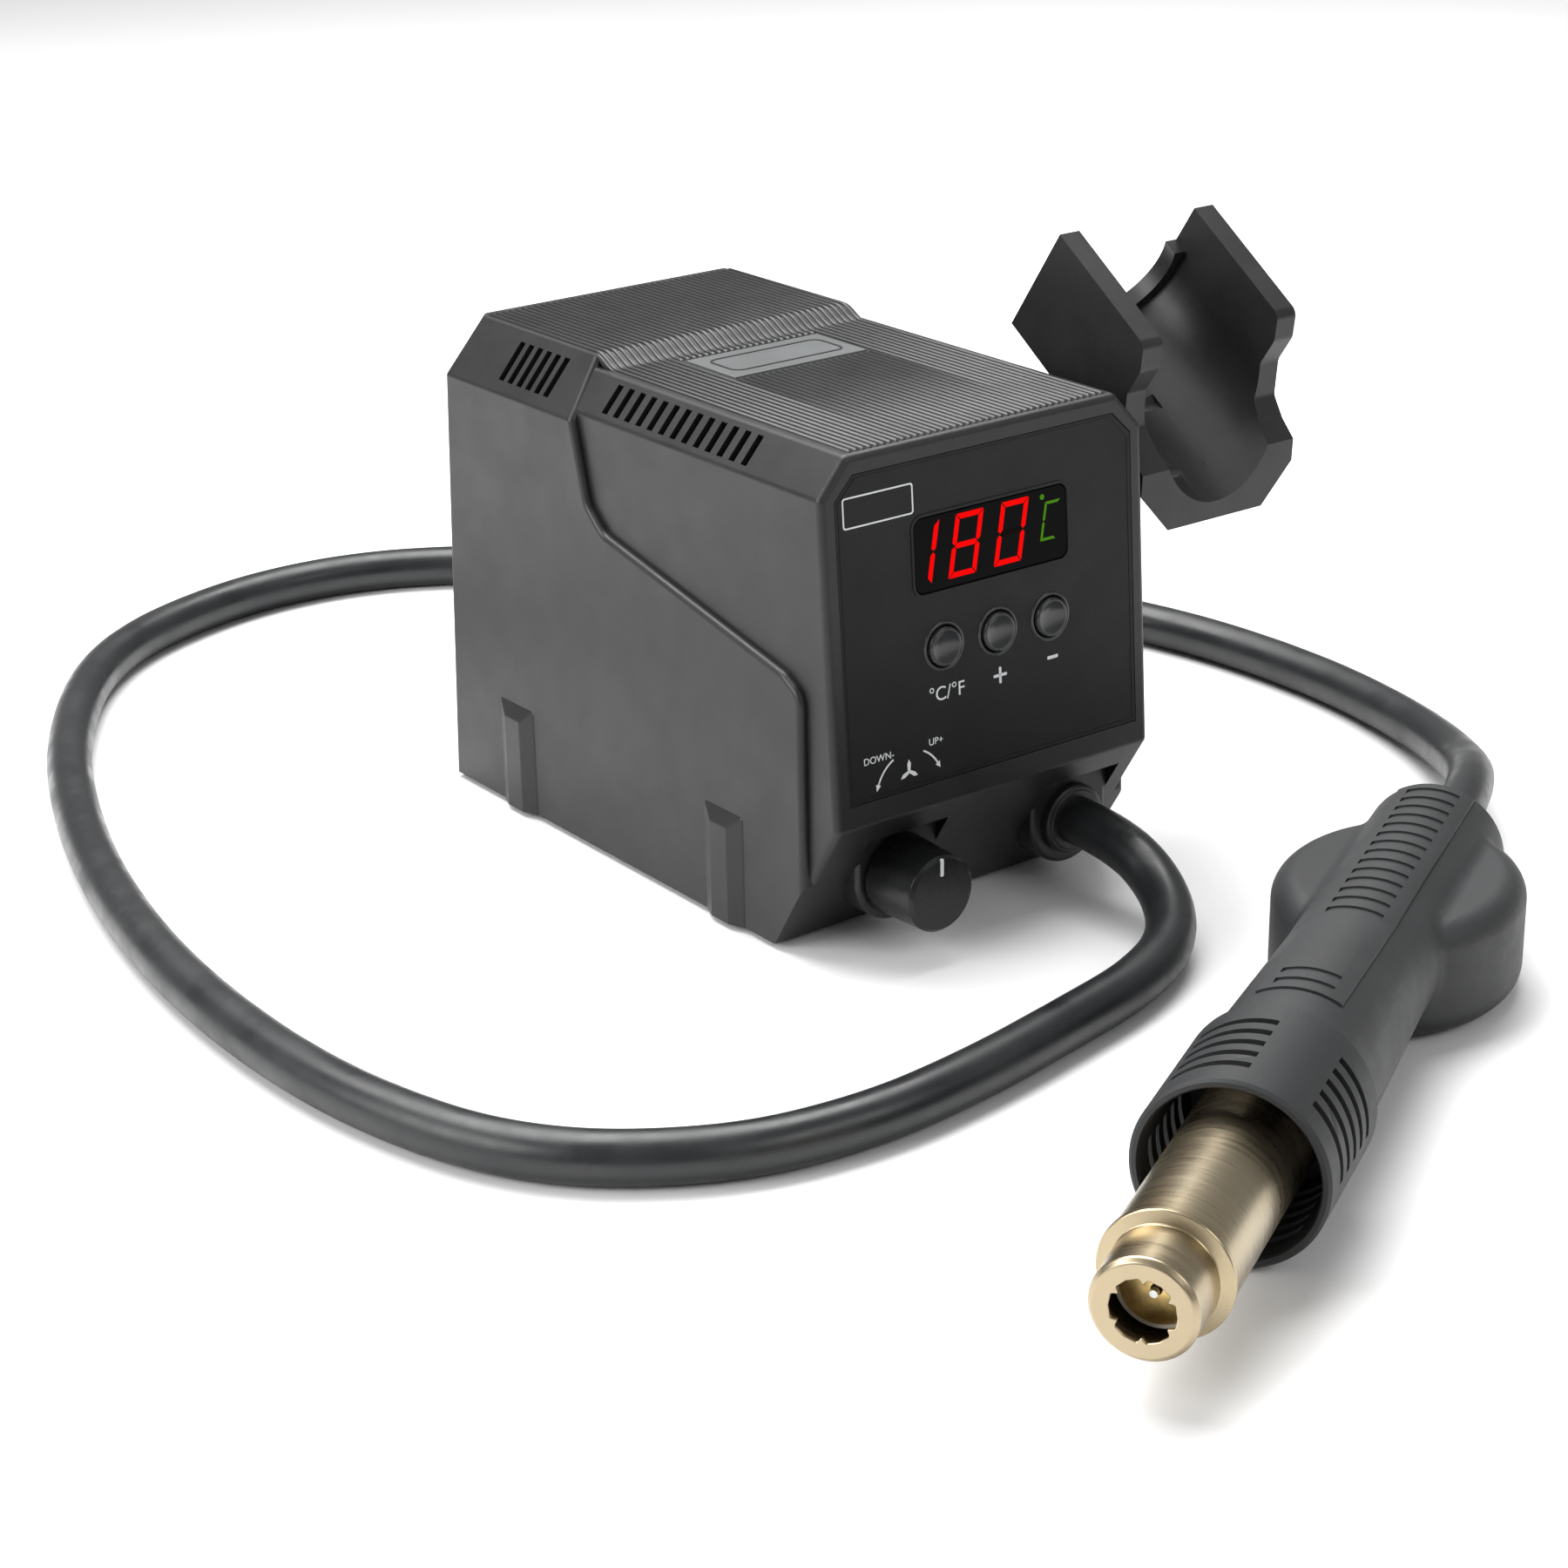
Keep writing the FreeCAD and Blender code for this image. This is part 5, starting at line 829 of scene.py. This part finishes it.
def make_marks():
    lettering("unit_label", "°C/°F", BUTTONS[0][0] + 0.4, MARK_V - 1.0, 5.0, FRONT)
    lettering("less_air_label", "DOWN-", -36.4, 16.0, 2.5, FRONT)
    lettering("more_air_label", "UP+", -18.8, 16.2, 2.5, FRONT)
    plus_x, minus_x = BUTTONS[1][0] + 0.4, BUTTONS[2][0] + 0.5
    bars = [slab(rounded_rectangle(plus_x, MARK_V - 0.5, 4.2, 0.75, 0.2, 2), MARK_LIFT, INK_T),
            slab(rounded_rectangle(plus_x, MARK_V - 0.5, 0.75, 4.2, 0.2, 2), MARK_LIFT, INK_T),
            slab(rounded_rectangle(minus_x, MARK_V + 0.3, 3.4, 0.85, 0.2, 2), MARK_LIFT, INK_T)]
    box_x, box_v, box_w, box_h = -33.2, 77.4, 21.0, 7.6
    bars.append(frame_ring(rounded_rectangle(box_x, box_v, box_w, box_h, 0.8, 3),
                           rounded_rectangle(box_x, box_v, box_w - 0.8, box_h - 0.8, 0.5, 3),
                           MARK_LIFT, INK_T))
    fan_x, fan_v = -27.4, 10.6
    for turn in (90, 210, 330):
        blade = [(0.25, -0.35), (2.0, -0.6), (3.0, 0.0), (1.8, 0.5), (0.25, 0.4)]
        c, s = math.cos(math.radians(turn)), math.sin(math.radians(turn))
        bars.append(slab([(fan_x + px * c - py * s, fan_v + px * s + py * c) for px, py in blade],
                         MARK_LIFT, INK_T))
    bars.append(slab(arc(fan_x, fan_v, 0.45, 0, 330, 11), MARK_LIFT, INK_T))
    bars += arrow_arc(fan_x, fan_v - 5.0, 10.2, 117, 158)
    bars += arrow_arc(fan_x, fan_v - 5.0, 10.2, 63, 30)
    mesh = place(merged("panel_marks", bars), FRONT)
    dress(add_object("panel_marks", mesh), "panel_grey", "ink")


make_marks()


def make_panel_relief():
    """The raised line round the label, the window's frame and the buttons' rims."""
    half, low, high, cut = 45.0, 6.6, 85.5, 5.4
    rim_r, rim_half, rim_out, rim_root = 5.75, 0.5, 0.35, -0.05

    def label_outline(inset):
        h, b, t = half - inset, low + inset, high - inset
        c = cut - inset * 0.4
        return [(-h, b), (h, b), (h, t - c), (h - c, t), (c - h, t), (-h, t - c)]

    shapes = [frame_ring(label_outline(0), label_outline(0.35), -0.05, 0.1)]
    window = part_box("display_window")
    window_x = (window[0].x + window[1].x) / 2 / MM - _middle / MM
    outer = rounded_rectangle(window_x, 62.7, 49.4, 20.4, 3.4)
    inner = rounded_rectangle(window_x, 62.7, 48.0, 19.0, 2.7)
    shapes.append(frame_ring(outer, inner, -0.05, 0.22))
    mesh = place(merged("panel_relief", shapes), FRONT)
    smooth(mesh, 30)
    dress(add_object("panel_relief", mesh), "panel_grey")
    rims = []
    crown = [(rim_r + rim_half * math.cos(math.radians(a)), rim_out * math.sin(math.radians(a)))
             for a in range(180, -1, -20)]
    section = [(rim_r - rim_half, rim_root), *crown, (rim_r + rim_half, rim_root)]
    for button_x, _ in BUTTONS:
        ring = lathe("rim", section, 56)
        ring.transform(Matrix.Translation((button_x, BUTTON_V, 0)))
        rims.append(([v.co.copy() for v in ring.vertices], [tuple(p.vertices) for p in ring.polygons]))
        bpy.data.meshes.remove(ring)
    mesh = place(merged("button_rims", rims), FRONT)
    smooth(mesh, 50)
    dress(add_object("button_rims", mesh), "dark_plastic", "button_grey")


make_panel_relief()


def make_buttons():
    """Each cap is dished, with a soft rim."""
    for x, node in BUTTONS:
        outline = [(0, -5.4), (1.6, -5.4), (1.6, -3.9), (6.2, -3.9), (6.2, -2.8), (4.9, -2.8),
                   (4.9, 0.55)]
        outline += [(4.25 + 0.65 * math.cos(math.radians(a)), 0.6 + 0.65 * math.sin(math.radians(a)))
                    for a in range(0, 91, 15)]
        outline += [(r, 0.62 + 0.63 * (r / 4.25) ** 2.2) for r in (3.9, 3.4, 2.9, 2.3, 1.6, 0.8)]
        outline.append((0, 0.62))
        mesh = lathe(node + "_cap", outline, 64, closed=False)
        mesh.transform(Matrix.Translation((x, BUTTON_V, 0)))
        place(mesh, FRONT)
        smooth(mesh, 40)
        piece = dress(add_object(node + "_cap", mesh, BODIES[node]), "button_grey")
        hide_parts(node)


make_buttons()


# ---------------------------------------------------------------- knob's pointer
def make_pointer():
    front = corner("airflow_knob").y / MM
    x, z = KNOB_AXIS.x / MM, KNOB_AXIS.z / MM
    knob_r = 9.9
    turn = axes_at(Vector((x, front, z)) * MM, Vector((1, 0, 0)), Vector((0, 0, 1)), Vector((0, -1, 0)))
    line = slab(rounded_rectangle(0, knob_r - 2.9, 1.0, 4.6, 0.3, 3), -0.45, 0.02)
    mesh = place(merged("knob_pointer", [line]), turn)
    dress(add_object("knob_pointer", mesh, "knob"), "dark_plastic", "ink")


make_pointer()


# ---------------------------------------------------------------- stage and lights
FLOOR_HALF = 4                # metres
SKY_STRENGTH = 0.34

def make_stage():
    far = FLOOR_HALF
    mesh = mesh_from("floor", [(-far, -far, 0), (far, -far, 0), (far, far, 0), (-far, far, 0)],
                     [(0, 1, 2, 3)])
    floor = bpy.data.objects.new("floor", mesh)
    bpy.context.scene.collection.objects.link(floor)
    graph = Graph("pale_floor")
    graph.colour(graph.ramp(graph.noise(3), [(0.3, (0.83, 0.83, 0.83)), (0.7, (0.86, 0.86, 0.86))]))
    graph.set(Roughness=0.7)
    floor.data.materials.append(graph.material)
    world = bpy.data.worlds.new("studio")
    world.use_nodes = True
    sky = world.node_tree.nodes["Background"]
    sky.inputs["Color"].default_value = (1, 1, 1, 1)
    sky.inputs["Strength"].default_value = SKY_STRENGTH
    bpy.context.scene.world = world


def area_light(name, place_at, target, size, power):
    data = bpy.data.lights.new(name, "AREA")
    data.shape = "RECTANGLE"
    data.size, data.size_y = size
    data.energy = power
    light = bpy.data.objects.new(name, data)
    light.location = place_at
    light.rotation_euler = (Vector(target) - Vector(place_at)).to_track_quat("-Z", "Y").to_euler()
    bpy.context.scene.collection.objects.link(light)


make_stage()
area_light("top_softbox", (0.1, 0.55, 1.3), (0, 0, 0.05), (1.6, 1.0), 44)
area_light("left_softbox", (-1.35, 0.25, 0.75), (0, 0, 0.08), (1.0, 0.7), 17)
area_light("front_softbox", (0.35, -1.4, 1.1), (0, 0, 0.02), (1.2, 0.6), 7)
bpy.context.scene.view_settings.view_transform = "Standard"
